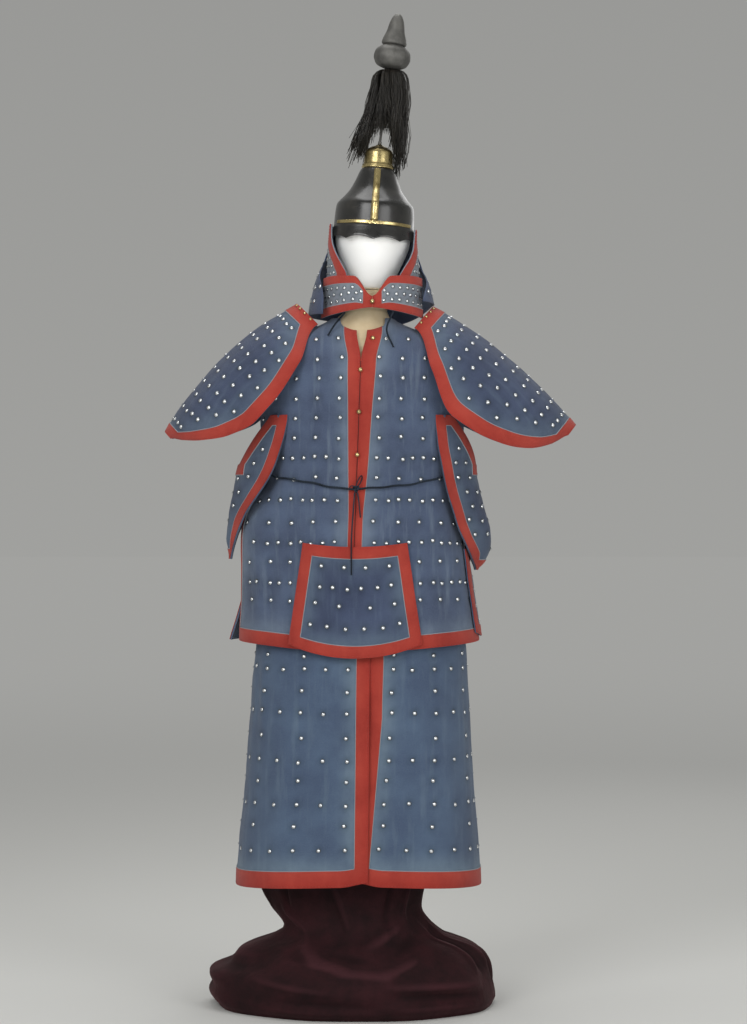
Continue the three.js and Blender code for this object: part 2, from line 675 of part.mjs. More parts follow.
function skirtPanel({ name, sign }) {
  const marks = faced(SKIRT_COLUMNS);
  const last = marks.length - 2;
  const top = skirtRows.length - 2;
  const surface = net(skirtRows, marks, (z, _, i, j) => {
    const half = halfGirth(SKIRT, z);
    const tuck = clamp((SKIRT_STUDS_TOP_Z - z) / (SKIRT_STUDS_TOP_Z - SKIRT_HEM_Z), 0, 1);
    const slide = SKIRT_TUCK.arc * clamp((tuck - SKIRT_TUCK.from) / (1 - SKIRT_TUCK.from), 0, 1);
    const start = sign * SKIRT_PARTING + SEAM - (sign > 0 ? slide : 0);
    const arc = acrossFaced(marks, j, half - SEAM / 2 - start, BORDER);
    const under = SKIRT_TUCK.depth * smooth(tuck / SKIRT_TUCK.from) * (1 - smooth(arc / SKIRT_TUCK.fade));
    const share = (start + arc) / half;
    return onForm(SKIRT, skirtHang(z, share, arc), sign * share, sign > 0 ? -under : 0);
  });
  const bordered = (i, j) => i === 0 || j === 0 || j === last;
  const studded = (i, j) => !bordered(i, j) && i <= SKIRT_ROWS && lattice(i, j);
  const lining = -WALL - SEAM;
  piece(`skirt_${name}`, wall(surface, -WALL, 0, undefined, studded), BLUE);
  piece(`skirt_${name}_border`, wall(surface, SEAM, SEAM + TRIM, bordered), RED);
  piece(`skirt_${name}_waistband`, wall(surface, lining - WAISTBAND, lining, (i) => i === top), CALICO);
}

// Waist cord: round the jacket from the knot back to the knot, with two free ends
function waistCord() {
  const half = halfGirth(TORSO, CORD_FRONT_Z);
  const knotShare = frontLean(CORD_FRONT_Z) / half;
  const gap = (KNOT.width + 1) / half;
  const run = spread(knotShare + gap, knotShare + 2 - gap, 44).map((share) => {
    const turn = share > 1 ? share - 2 : share;
    const z = lerp(CORD_FRONT_Z, CORD_SIDE_Z, sideness(turn));
    const lie = CORD_DIAMETER / 2 + 6.6 * SEAM + lerp(TRIM + 4 * SEAM, 0, smooth(Math.abs(turn) * 6));
    return around(TORSO, z, turn, lie);
  });
  piece("waist_cord", cord(run, CORD_DIAMETER, 40, 5), STRING);
  const at = around(TORSO, CORD_FRONT_Z, knotShare, KNOT.depth + TRIM + 3 * SEAM);
  piece("waist_cord_knot", ball(KNOT.width, KNOT.depth, KNOT.height), STRING).position.copy(at);
  SIDES.forEach(({ name, sign }) => {
    const hang = CORD_ENDS[name].map(({ drop, out, apart }) =>
      around(TORSO, CORD_FRONT_Z - drop, knotShare + (sign * apart) / half, out),
    );
    piece(`waist_cord_end_${name}`, cord(hang, CORD_END_DIAMETER, 8), STRING);
  });
}

// A flap that hangs over the jacket below the waist
function flap(name, { middle, top, bottom, sag, halfTop, halfBottom, rows, columns }) {
  const edge = FLAP_BORDER / (top - bottom);
  const levels = [0, ...spread(edge, 1 - edge, rows), 1];
  const marks = faced(columns);
  const surface = net(levels, marks, (level, _, i, j) => {
    const half = lerp(halfBottom, halfTop, level);
    const offset = acrossFaced(marks, j, 2 * half, FLAP_BORDER) - half;
    const dip = sag * (1 - (offset / half) ** 2) * (1 - 0.7 * level);
    const z = lerp(bottom, top, level) - dip;
    const centre = middle === "side" ? 0.5 : middle / halfGirth(TORSO, z);
    return onForm(TORSO, z, centre + offset / halfGirth(TORSO, z), FLAP_STANDOFF + THIN_WALL);
  });
  const bordered = (i, j) => i === 0 || i === levels.length - 2 || j === 0 || j === marks.length - 2;
  const studded = (i, j) => !bordered(i, j) && (i % 2 === 1 || j % 2 === 1);
  piece(name, wall(surface, -THIN_WALL, 0, undefined, studded), BLUE);
  piece(`${name}_border`, wall(surface, SEAM, SEAM + TRIM, bordered), RED);
}

// A shield under the arm with a notch between two horns
function armpitGuard({ name, sign }) {
  const table = ARMPIT[name];
  const [low, high] = [table[0].z, table.at(-1).z];
  const sill = ARMPIT_NOTCH.z - ARMPIT_BORDER;
  const levels = [
    low,
    ...spread(low + ARMPIT_BORDER, sill, ARMPIT_ROWS),
    ARMPIT_NOTCH.z,
    high - ARMPIT_BORDER,
    high,
  ];
  const notchRow = levels.indexOf(ARMPIT_NOTCH.z);
  const top = levels.length - 2;
  const place = (z, j) => {
    const half = halfGirth(TORSO, z);
    const edge = read(table, "z", z, "edge");
    const facing = Math.min(ARMPIT_BORDER / half, (0.5 - edge) * 0.45);
    const rise = Math.max((z - ARMPIT_NOTCH.z) / (high - ARMPIT_NOTCH.z), 0);
    const notch = lerp(ARMPIT_NOTCH.low, ARMPIT_NOTCH.high, rise);
    const third = (0.5 - edge - facing) / 3;
    const settled = smooth((sill - z) / 90);
    const inner = [lerp(notch - facing, edge + facing + third, settled), lerp(notch, 0.5 - third, settled)];
    const lines = [edge, edge + facing, ...inner, 0.5];
    const line = lines[Math.min(j, 8 - j)];
    const belly = smooth((line - edge) / (0.5 - edge));
    const out = lerp(read(table, "z", z, "out"), read(table, "z", z, "side"), belly);
    return around(TORSO, z, sign * (j <= 4 ? line : 1 - line), out);
  };
  const surface = freeNet(levels, spread(0, 8, 8), place, sign);
  const covers = (i, j) => i < notchRow || (j !== 3 && j !== 4);
  const notchSide = (i, j) => i >= notchRow && (j === 2 || j === 5);
  const notchFoot = (i, j) => i === notchRow - 1 && j > 1 && j < 6;
  const outerEdge = (i, j) => i === 0 || i === top || j === 0 || j === 7;
  const bordered = (i, j) => covers(i, j) && (outerEdge(i, j) || notchSide(i, j) || notchFoot(i, j));
  const studded = (i, j) => !bordered(i, j) && i > 1 && i < notchRow - 1;
  piece(`armpit_guard_${name}`, wall(surface, -WALL, 0, covers, studded), BLUE);
  piece(`armpit_guard_${name}_border`, wall(surface, 3 * SEAM, 3 * SEAM + TRIM, bordered), RED);
}

// An arch over the shoulder that narrows to a tip
function shoulderGuard({ name, sign }) {
  const { neck, tip, bow } = CREST[name];
  const from = new THREE.Vector3(neck[0], 0, neck[1]);
  const to = new THREE.Vector3(tip[0], 0, tip[1]);
  const length = from.distanceTo(to);
  const run = to.clone().sub(from).normalize();
  const down = new THREE.Vector3(sign * run.z, 0, -sign * run.x);
  const drop = name === "right" ? "dropRight" : "dropLeft";
  const levels = [0, ...spread(BORDER / length, 1 - GUARD_TIP_BORDER / length, GUARD_ROWS), 1];
  const marks = faced(GUARD_COLUMNS);
  const place = (s, _, i, j) => {
    const [fall, reach] = [read(GUARD, "s", s, drop), read(GUARD, "s", s, "reach")];
    const girth = 2.2 * Math.hypot(fall, reach);
    const across = acrossFaced(marks, j, girth, Math.min(BORDER, girth * 0.2)) / girth;
    const turn = (2 * across - 1) * GUARD_TURN;
    const lifted = turn > 0 ? smooth((s - GUARD_BACK.from) / GUARD_BACK.run) : 0;
    const deep = fall * lerp(1, GUARD_BACK.drop, lifted);
    const sink = (deep * (1 - Math.cos(turn))) / (1 - Math.cos(GUARD_TURN)) - bow * 4 * s * (1 - s);
    const forward = (reach * Math.sin(turn)) / Math.sin(GUARD_TURN);
    return from.clone().addScaledVector(run, s * length).addScaledVector(down, sink).setY(forward);
  };
  const surface = freeNet(levels, marks, place, -sign);
  const bordered = (i, j) => i === 0 || i === levels.length - 2 || j === 0 || j === marks.length - 2;
  const studded = (i, j) => !bordered(i, j) && lattice(i, j);
  piece(`shoulder_guard_${name}`, wall(surface, -WALL, 0, undefined, studded), BLUE);
  piece(`shoulder_guard_${name}_border`, wall(surface, SEAM, SEAM + TRIM, bordered), RED);
}

// Helmet
function bowl() {
  const crown = [0, BOWL[0][1]];
  const lining = [...BOWL_LINING, [0, crown[1] - SHELL]];
  piece("helmet_bowl", turned([crown, ...BOWL, ...lining], 20, HELMET.depthRatio), LACQUER, helmet);
}

function visor() {
  const surface = net(spread(0, 1, 2), spread(-1, 1, 16), (level, u) => {
    const scallop = Math.abs(Math.sin((u * Math.PI * VISOR.scallops) / 2));
    const low = VISOR.low + VISOR.depth * scallop;
    return onForm(BROW, lerp(low, VISOR.high, level), u * VISOR.reach);
  });
  piece("helmet_visor", wall(surface, 0, VISOR.wall), LACQUER, helmet);
  const band = net([BROW_BAND.low, BROW_BAND.high], spread(-1, 1, 16), (z, u) =>
    onForm(BROW, z, u * BROW_BAND.reach),
  );
  piece("helmet_brow_band", wall(band, 0, BROW_BAND.wall), BRASS, helmet);
}

function ridge(name, facing) {
  const spine = [...BOWL.filter(([, z]) => z > RIDGE.low && z < RIDGE.high), RIDGE.foot];
  const rings = spine.map(([radius, z]) => {
    const y = radius * HELMET.depthRatio + SEAM + 0.1;
    const taper = lerp(RIDGE.taper, 1, radius / BOWL.at(-1)[0]);
    const section = [
      [-RIDGE.halfWidth * taper, y],
      [-RIDGE.crest * taper, y + RIDGE.height * 0.7],
      [0, y + RIDGE.height],
      [RIDGE.crest * taper, y + RIDGE.height * 0.7],
      [RIDGE.halfWidth * taper, y],
    ];
    return section.map(([x, out]) => new THREE.Vector3(x, facing * out, z));
  });
  piece(name, loft(rings), BRASS, helmet);
}

function crest() {
  piece("plume_cup", turned(CUP, 16), BRASS, helmet).position.z = CUP_Z;
  const top = PLUME.knob - PLUME.knobRadius - SEAM;
  const stem = [[0, SEAM], [STEM_RADIUS, SEAM], [STEM_RADIUS, top], [0, top]];
  piece("plume_stem", turned(stem, 10), PEWTER, plume);
  piece("plume_finial", turned(FINIAL, 14), PEWTER, plume).position.z = PLUME.finial;
}

// A lock of hair through points, thinner towards its end
function lock(points, radii) {
  const rings = points.map((point, i) => {
    const [before, after] = [points[Math.max(i - 1, 0)], points[Math.min(i + 1, points.length - 1)]];
    const along = after.clone().sub(before).normalize();
    const side = new THREE.Vector3(-along.y, along.x, 0.001).normalize();
    const other = along.clone().cross(side);
    const [wide, deep] = [side.multiplyScalar(radii[i]), other.multiplyScalar(radii[i])];
    const turns = spread(0, 2 * Math.PI, 3).slice(0, 3);
    return turns.map((turn) =>
      point.clone().addScaledVector(wide, Math.cos(turn)).addScaledVector(deep, Math.sin(turn)),
    );
  });
  return loft(rings);
}

function tassel() {
  armour.updateMatrixWorld(true);
  const knob = plume.localToWorld(new THREE.Vector3(0, 0, PLUME.knob));
  const bodies = [ball(PLUME.knobRadius).translate(knob.x, knob.y, knob.z)];
  LOCKS.forEach(({ count, radius, size, reach }, layer) => {
    for (let k = 0; k < count; k++) {
      const turn = (2 * Math.PI * (k + 0.5 * layer)) / count;
      const way = new THREE.Vector3(Math.cos(turn), Math.sin(turn), 0);
      const sideways = Math.abs(way.x) ** 1.5;
      const full = lerp(HANG.middle, way.x > 0 ? HANG.left : HANG.right, sideways);
      const long = reach * full - HANG.uneven * (k % 3);
      const drift = sideways * (way.x > 0 ? HANG.driftLeft : HANG.driftRight);
      const path = [[0.25, 7, 0], [0.96, -3, 0], [1.06, -0.5 * long, 0.3], [1.04, -long, 1]];
      const points = path.map(([out, fall, share]) =>
        knob.clone().addScaledVector(way, radius * out).add(new THREE.Vector3(drift * share, 0, fall)),
      );
      bodies.push(lock(points, [size, size, size * 0.85, size * 0.25]));
    }
  });
  piece("plume_tassel", joined(bodies), HAIR);
}

// Neck guards
function nape() {
  const levels = spread(0, 1, NAPE.rows);
  const marks = spread(0, 1, NAPE.columns);
  const surface = net(levels, marks, (level, mark) => {
    const lift = smooth((0.46 - mark) / 0.26);
    const z = lerp(lerp(NAPE.low, NAPE.lowLeft, lift), NAPE.high, level);
    const edge = read(NAPE_EDGE, "z", z, "share");
    return onForm(CAPE, z, lerp(edge, 2 - edge, mark));
  });
  const studded = (i, j) => i > 0 && i < NAPE.rows - 1 && lattice(i, j);
  piece("nape_guard", wall(surface, -THIN_WALL, 0, undefined, studded), BLUE, helmet);
  const atBack = (j) => j >= NAPE.facedFrom && j < NAPE.columns - NAPE.facedFrom;
  piece("nape_guard_border", wall(surface, SEAM, SEAM + TRIM, (i, j) => i === 0 && atBack(j)), RED, helmet);
}

function earGuard({ name, sign }) {
  const surface = net(spread(EAR.low, EAR.high, 5), spread(0, 3, 3), (z, j) => {
    const front = read(EAR_FRONT, "z", z, "share");
    const share = [front, front + EAR.border, lerp(front + EAR.border, EAR.back, 0.5), EAR.back][j];
    const flip = read(EAR_FRONT, "z", z, "flip") * ((EAR.back - share) / (EAR.back - front)) ** 1.5;
    return onForm(CAPE, z, sign * share, read(EAR_FRONT, "z", z, "out") + flip);
  });
  piece(`ear_guard_${name}`, wall(surface, -THIN_WALL, 0), BLUE, helmet);
  piece(`ear_guard_${name}_border`, wall(surface, SEAM, SEAM + TRIM, (i, j) => j === 0), RED, helmet);
}

function throatGuard({ name, sign }) {
  const levels = [0, 0.22, 0.78, 1];
  const marks = [0.0006, 0.055, 0.11, 0.2, 0.3, THROAT_EDGE];
  const surface = net(levels, marks, (level, share) => {
    const [low, high] = ["low", "high"].map((edge) => read(THROAT_EDGES, "share", share, edge));
    return onForm(THROAT, lerp(low, high, level), sign * share);
  });
  const bordered = (i, j) => i !== 1 || j === 0;
  const studded = (i, j) => !bordered(i, j) && j > 1;
  piece(`throat_guard_${name}`, wall(surface, -THIN_WALL, 0, undefined, studded), PALE_BLUE);
  piece(`throat_guard_${name}_border`, wall(surface, SEAM, SEAM + TRIM, bordered), RED);
}

function throatFastening() {
  const at = around(THROAT, 1534, 0, BUTTON_RADIUS + TRIM + 2 * SEAM);
  piece("throat_button", ball(BUTTON_RADIUS), BRASS).position.copy(at);
  TIES.forEach(({ name, share, from, to, gap }) => {
    const hang = [
      around(THROAT, from, share, -THIN_WALL - TIE_DIAMETER / 2 - gap),
      around(TORSO, lerp(from, to, 0.5), share, 18),
      around(TORSO, to, share, 7),
    ];
    piece(`throat_tie_${name}`, cord(hang, TIE_DIAMETER, 8), STRING);
  });
}

// Dress form: its shoulders follow the inside of the jacket and carry it
function dressForm() {
  const turns = spread(-1, 1, 24).slice(0, 24);
  const trunk = FORM.map(({ z }) => turns.map((share) => around(FORM, z, share)));
  const shoulders = jacketRows.slice(-FORM_EASE.length).map((row, k) =>
    turns.map((share) => {
      const { at, way } = onForm(TORSO, jacketZ(row, Math.min(Math.abs(share), 0.5)), share);
      return at.addScaledVector(way, -WALL - FORM_EASE[k]);
    }),
  );
  const throat = FORM_NECK.map(({ z }) => turns.map((share) => around(FORM_NECK, z, share)));
  piece("stand_form", loft([...trunk, ...shoulders, ...throat]), CALICO);
  piece("stand_head", turned(HEAD, 20, HELMET.depthRatio), WHITE, helmet);
}

// Foot of the stand under its velvet cover
function foot() {
  const turns = spread(0, 2 * Math.PI, 30).slice(0, 30);
  const rings = FOOT.map(({ z, right, left, depth, fold }) =>
    turns.map((turn) => {
      const wave = 1 + fold * Math.sin(FOOT_FOLDS * turn + z / 60);
      const x = Math.cos(turn) * (Math.cos(turn) > 0 ? left : right);
      return new THREE.Vector3(x * wave, Math.sin(turn) * depth * wave, z);
    }),
  );
  piece("stand_foot", loft(rings), VELVET);
}

foot();
dressForm();
SIDES.forEach(skirtPanel);
SIDES.forEach(jacketFront);
jacketBack();
buttons();
waistCord();
flap("front_flap", FRONT_FLAP);
flap("side_flap_left", SIDE_FLAP);
SIDES.forEach(armpitGuard);
SIDES.forEach(shoulderGuard);
bowl();
visor();
ridge("helmet_ridge_front", -1);
ridge("helmet_ridge_back", 1);
crest();
tassel();
nape();
SIDES.forEach(earGuard);
SIDES.forEach(throatGuard);
throatFastening();

export default armour;
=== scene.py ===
import math

import bmesh
import bpy
import numpy as np
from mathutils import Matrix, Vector, kdtree


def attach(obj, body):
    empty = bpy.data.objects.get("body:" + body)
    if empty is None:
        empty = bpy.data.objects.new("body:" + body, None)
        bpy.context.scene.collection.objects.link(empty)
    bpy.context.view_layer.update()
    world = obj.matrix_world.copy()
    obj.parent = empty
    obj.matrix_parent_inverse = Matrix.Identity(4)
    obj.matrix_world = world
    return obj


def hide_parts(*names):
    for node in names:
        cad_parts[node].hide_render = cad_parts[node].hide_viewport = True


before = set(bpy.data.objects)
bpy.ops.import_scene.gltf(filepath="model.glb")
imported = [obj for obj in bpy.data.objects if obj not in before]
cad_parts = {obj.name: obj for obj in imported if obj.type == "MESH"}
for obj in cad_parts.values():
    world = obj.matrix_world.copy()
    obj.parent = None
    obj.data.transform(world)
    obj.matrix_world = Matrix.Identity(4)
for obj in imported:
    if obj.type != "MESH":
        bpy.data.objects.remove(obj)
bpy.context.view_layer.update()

# Studded cotton armour on a dress form. Tables and shapes are in millimetres, meshes in metres.
MM = 0.001
SIDES = (("right", -1), ("left", 1))
draw = np.random.default_rng(17)

# Camera and light
CAMERA_AT = (0.025, -6.0, 1.080)
CAMERA_LENS = 95.9
CAMERA_CLIP = 200
BACKDROP_HIGH = (0.318, 0.318, 0.308)
BACKDROP_LOW = (0.362, 0.362, 0.350)
BACKDROP_RUN = (-0.06, 0.19)
FLOOR_COLOUR = (0.65, 0.65, 0.63)
FLOOR_RINGS = (1, 3, 8, 20, 60)
FLOOR_SIDES = 96
FLOOR_FADE = (1.2, 14.0)
LIGHTS = [
    {"name": "key", "at": (-2.3, -4.2, 3.3), "size": 2.6, "power": 114},
    {"name": "fill", "at": (2.8, -3.8, 2.2), "size": 2.6, "power": 72},
    {"name": "low", "at": (0.2, -4.6, 0.7), "size": 2.0, "power": 30},
    {"name": "top", "at": (0.0, 0.6, 4.6), "size": 2.4, "power": 55},
    {"name": "back", "at": (1.6, 4.4, 3.0), "size": 2.6, "power": 26},
]
LIGHT_AIM = (0, 0, 1.1)
FACE_LIGHT = {
    "at": (0.03, -4.2, 1.70), "aim": (0.026, -0.1, 1.632),
    "cone": 4.0, "blend": 0.7, "power": 290, "soft": 0.2,
}

# Cloth
WALL = 4
THIN_WALL = 3
FACING_LIFT = 0.4
FACING_WALL = 1.3
CLOTH_EDGE, FACING_EDGE, BAND_EDGE, PLATE_EDGE = 0.9, 0.5, 0.6, 0.8
SEAM = 0.3
BORDER = 29
FACING_CELLS = 4
CELL = 8.5
PIPING_CORD = {"radius": 1.1, "sides": 6, "sit": 0.8}
STITCH = {"pitch": 7.0, "half": 2.0, "wide": 0.55, "high": 0.55, "inset": 3.4, "sunk": 0.1}
STUD = {"radius": 4.2, "height": 3.1, "washer": 5.8, "dimple": 1.1, "dimple_reach": 10, "stain_reach": 9}
SMALL_STUD = {"radius": 3.1, "height": 2.1, "washer": 4.2, "dimple": 0.5, "dimple_reach": 6, "stain_reach": 6}
STUD_SIDES = 10
STUD_DOME = {
    "rim": 0.05, "flange": 1.02, "shoulder": 0.55, "seat": 0.5, "from": 0.05, "steps": 5,
    "lift": 0.15, "probe": 1.5,
}
SWELL = {"count": 7, "long": (70, 210), "rise": (0.12, 0.34)}
CREASE_ENDS = 0.25
CREASE_BOW = 0.8
FADE_REACH = 26
# About how wide each field is, for its count of cells
FIELD = {"front": 250, "back": 560, "skirt": 620, "horn": 80, "guard": 440}
# Small steps, in share of the girth and in height, to find the way out of a form
PROBE = (0.002, 0.5)

# Jacket
HEM_FRONT_Z, HEM_SIDE_Z = 778, 800
NECK_FRONT_Z, NECK_SIDE_Z, NECK_RISE = 1474, 1504, 0.2
SLIT_TOP_Z = 1109
FRONT_LEAN = {"run": -16, "low": 1010}
NECK_VENT = {"low": 1405, "half": 11}
JACKET_STUDS = {"first": 13, "pitch": 50, "dense": 26, "front": 16, "back": 13, "loose": 1.6, "clear": 7}
SPARSE_ROWS = (1454, 1413, 1370, 1325, 1282, 1239, 1153, 1058, 974, 890)
DENSE_ROWS = (1196, 1106, 1013, 928)
STUD_ROWS = [(z, JACKET_STUDS["pitch"]) for z in SPARSE_ROWS]
STUD_ROWS += [(z, JACKET_STUDS["dense"]) for z in DENSE_ROWS]
FRONT_COLUMNS = (0, 1 / 7, 6 / 7, 1)
# A thin dark cord down the front gap, as painted shade for the shadow line between the fronts.
GAP_SHADE_CORD = {"radius": 0.9, "sides": 6, "points": 90, "above_hem": 4, "lift": 0.1}
BUTTONS = ((1456, 2.6), (1386, 1.1), (1295, 0), (1203, 0))
BUTTON = {"radius": 5, "collar": 0.44, "collar_top": 0.94, "from": 0.42, "steps": 14, "sides": 20}
TRIM = 1.2

# Waist cord
CORD_DIAMETER = 6.5
CORD_SIDE_Z, CORD_FRONT_Z = 1166, 1130
CORD_POINTS = 700
CORD_WAVES = ((1.4, 23), (0.9, 61))
CORD_LIE = {"off": 6.6 * SEAM, "facing": TRIM + 4 * SEAM, "run": 1 / 6}
ROPE = {"radius": 2.7, "lay": 11, "swing": 0.48, "strand": 0.55, "sides": 6}
KNOT = {
    "width": 8, "depth": 6, "height": 9, "inset": 2.4, "covers": 2,
    "strand": 2.3, "points": 72, "sides": 8,
}
BOW = {"strand": 1.2, "points": 40, "sides": 8}
TIED_WAY = (0.1, 0.9, 0.3)
CORD_END_DIAMETER = 3.2
FREE_CORD_POINTS = 24
BOW_LOOPS = (
    ((0, 0, 2), (1, -3, 10), (6, -1, 21), (11, 2, 28), (13, 3, 23), (9, 0, 12), (2, -2, 2)),
    ((0, -2, 1), (-6, -3, 6), (-12, -1, 5), (-13, 0, 0), (-7, -2, -2), (-1, -3, 0)),
)
CORD_ENDS = {
    "right": ((8.7, 8, 3), (60, 10, 6), (115, 11.6, 8), (185, 11.2, 7)),
    "left": ((8.7, 8, 3), (30, 9, 6), (62, 10, 9)),
}

# Skirt
SKIRT_HEM_Z, SKIRT_HEM_BORDER = 280, 36
SKIRT_STUDS_TOP_Z, SKIRT_TOP_Z = 790, 1030
SKIRT_PARTING = 21
SKIRT_TUCK = {"arc": 29, "depth": 9, "fade": 150, "from": 0.3}
SKIRT_HANG = {"side": 14, "side_fade": 320, "lift": 9, "lift_arc": 60, "lift_fade": 130}
WAISTBAND, WAISTBAND_GAP = 2.5, 1
SKIRT_HEM_CELLS, SKIRT_TOP_CELLS = 5, 3
SKIRT_STUDS = {"first": 20, "top": 47, "bottom": 57, "count": 16, "loose": 1.6, "clear": 9}
SKIRT_ROWS = (772, 742, 695, 648, 596, 547, 504, 455, 410, 359)

# Flaps and guards
FLAP_STANDOFF = 3
FLAP_BORDER = 24
FLAP_LEVELLING = 0.7
FRONT_FLAP = {"middle": -15, "top": 1014, "bottom": 797, "sag": 30, "half_top": 110, "half_bottom": 142}
SIDE_FLAP = {"middle": None, "top": 1000, "bottom": 818, "sag": 10, "half_top": 54, "half_bottom": 66}
FRONT_FLAP_STUDS = ((0.81, (22, 71)), (0.625, (15, 46, 76)), (0.458, (33, 83)), (0.26, (20, 57, 94)))
FRONT_FLAP_LOOSE = 1.2
SIDE_FLAP_STUDS = {"along": 31, "across": 28, "stagger": 0.5, "start": (14, 850), "loose": 1.2, "clear": 6}
ARMPIT_BORDER = 23
ARMPIT_BORDER_MOST = 0.45
ARMPIT_NOTCH = {"z": 1184, "low": 0.47, "high": 0.34, "settle": 90}
ARMPIT_COLUMNS = (FACING_CELLS, 5, 4, 5, 5, 4, 5, FACING_CELLS)
ARMPIT_STUDS = {"along": 31, "across": 30, "stagger": 0.35, "start": (0, 1000), "loose": 1.2, "clear": 5}
GUARD_TIP_BORDER = 22
GUARD_BORDER_MOST = 0.2
GUARD_GIRTH = 2.2
GUARD_TURN = math.radians(84)
GUARD_BACK = {"drop": 0.9, "from": 0.3, "run": 0.5}
GUARD_STUDS = {"first": 46, "along": 36, "rows": 6.5, "lean": 0.8, "loose": 1.4, "clear": 7}
BEAD = ((0, 0), (2.8, 0.4), (3.2, 1.6), (2.4, 3.2), (0, 3.9))
BEADS = {
    "shares": (-0.42, -0.33, -0.24, -0.15, 0.15, 0.24, 0.33, 0.42),
    "inset": 4.5, "sunk": 0.3, "sides": 10,
}

# Helmet, in its own tilted frame with z = 0 at the rim
HELMET = {"x": 24, "z": 1683, "tilt": math.radians(4), "depth_ratio": 1.18}
VISOR = {"low": -14, "high": 19.6, "reach": 0.37, "scallops": 4, "depth": 7, "wall": 2.5, "rows": 6}
BROW_BAND = {"low": 20, "high": 27, "reach": 0.31, "wall": 3, "rows": 3}
BROW_COLUMNS = 97
PLATE_LIFT = 0.2
RIDGE = {
    "top": (37.8, 148), "foot": (87.6, 28), "low": 45, "high": 145, "half": 8, "height": 3.4,
    "taper": 0.8, "steps": 8,
}
RIDGE_SECTION = (
    (-1, 0), (-0.96, 0.35), (-0.62, 0.5), (-0.5, 0.82), (0, 1), (0.5, 0.82), (0.62, 0.5),
    (0.96, 0.35), (1, 0),
)
CUP_Z = 152.4
PLUME = {"z": 205, "tilt": math.radians(4.2), "knob": 152, "knob_radius": 15.6, "finial": 168}
STEM = {"radius": 4, "neck": 0.7, "end": 6, "shoulder": 8}
FINIAL_LOBES = {"lobes": 8, "lobe_depth": 0.05}
LOBE_BOW = 0.7
TURNED_SIDES = {"bowl": 72, "head": 72, "cup": 56, "stem": 24, "knob": 24, "bulb": 80, "spike": 48}
KNOB_STEPS = 15
# Horse hair: "left" and "right" are how long the locks are at either side, "front" before and behind
HAIR = {
    "locks": 54, "strands": 26, "points": 13, "radius": 0.55, "sides": 3, "turn": 0.382, "turn_loose": 0.05,
    "out": (20, 41), "lean": 1.5, "front": 108, "left": 232, "right": 192,
    "cut": (0.82, 1.0), "trim": (0.86, 1.03), "drift_left": -10, "drift_right": (-52, -30),
    "spread": (4.5, 7.5), "swing": 0.45, "flat": 0.6, "waves": 9,
    "loose": (4.5, 3.5, 7), "bend": (2.6, 2.6, 0), "tilt": (0.01, 0.02, 0.03),
}

# Neck guards
NAPE = {
    "low": -182, "low_left": -138, "high": 20, "rows": 5, "faced": 1 / 3,
    "lift": (0.574, 0.943), "girth_z": -80, "cells": 1.2,
}
NAPE_RISE = NAPE["high"] - NAPE["low"]
NAPE_HEM = NAPE_RISE / NAPE["rows"]
NAPE_STUDS = {
    "along": 30, "across": 30, "stagger": 0.5, "start": (0, NAPE_HEM + 20),
    "loose": 1.2, "clear": 7,
}
EAR = {
    "back": 0.53, "low": -96, "high": 18, "border": 0.08, "flare": 1.5, "girth_z": -40,
    "cells": 1.4, "columns": (3, 9),
}
EAR_STUDS = {"along": 17, "across": 17, "stagger": 0.5, "start": (0, -90), "loose": 0.8, "clear": 3}
THROAT_GUARD = {
    "girth_z": 1550, "tall": 80, "levels": (0, 0.22, 0.78, 1), "rows": (3, 8, 3),
    "shares": (0.0006, 0.055, 0.4), "columns": (4, 22), "button_z": 1534,
}
THROAT_STUDS = {"along": 14, "across": 19, "stagger": 0.5, "start": (6, 26), "loose": 0.8, "clear": 3}
TIE_DIAMETER = 4
TIE_LIE = (0.2, 18, 7)
TIES = {
    "right": {"share": -0.17, "from": 1512, "to": 1462, "gap": 0.9},
    "left": {"share": 0.13, "from": 1514, "to": 1436, "gap": 0.3},
}


def table(names, *rows):
    """Rows of numbers as named columns."""
    return dict(zip(names.split(), np.array(rows, float).T))


# Outside of the jacket and of the skirt, level by level
TORSO = table(
    "z width depth",
    (770, 257, 174), (900, 241, 161), (1010, 225, 148), (1150, 211, 136), (1250, 222, 142), (1340, 226, 140),
    (1405, 214, 126), (1442, 190, 108), (1472, 136, 92), (1500, 74, 70), (1530, 48, 56),
)
# Width of the facing down the front edges
FRONT_FACING = table("z right left", (1050, 15, 16), (1170, 19, 23), (1300, 24, 28), (1410, 28, 33))
# How far the right front and the right side of the back stand off beside the open slit
FLARE = table(
    "z front back",
    (770, 12, 38), (850, 18, 26), (950, 31, 14), (1010, 40, 6), (1052, 43, 0), (1100, 30, 0), (1150, 0, 0),
)
FLARE_FROM = {"front": 0.28, "back": 1.3, "run": 0.2}
SKIRT = table(
    "z width depth x",
    (255, 268, 193.5, -8), (500, 251, 181, -6), (780, 231, 158, -3), (900, 213, 142, 0), (1040, 196, 126, 0),
)
ARMHOLE = table(
    "z inset",
    (760, 0), (1262, 0), (1290, 34), (1345, 58), (1395, 58), (1432, 34), (1452, 0), (1530, 0),
)
# Shoulder guards: along the crest, how far the edges drop and reach to the front and back
GUARD = table(
    "s drop_right drop_left reach",
    (0, 68, 66, 62), (0.22, 124, 129, 126), (0.46, 155, 184, 147), (0.6, 158, 178, 145),
    (0.75, 134, 156, 130), (0.88, 88, 118, 102), (0.96, 47, 71, 66), (1, 22, 30, 38),
)
CREST = {
    "right": {"neck": (-143, 1537.3), "tip": (-433, 1256), "bow": 30},
    "left": {"neck": (156, 1531.6), "tip": (469, 1271), "bow": 20},
}
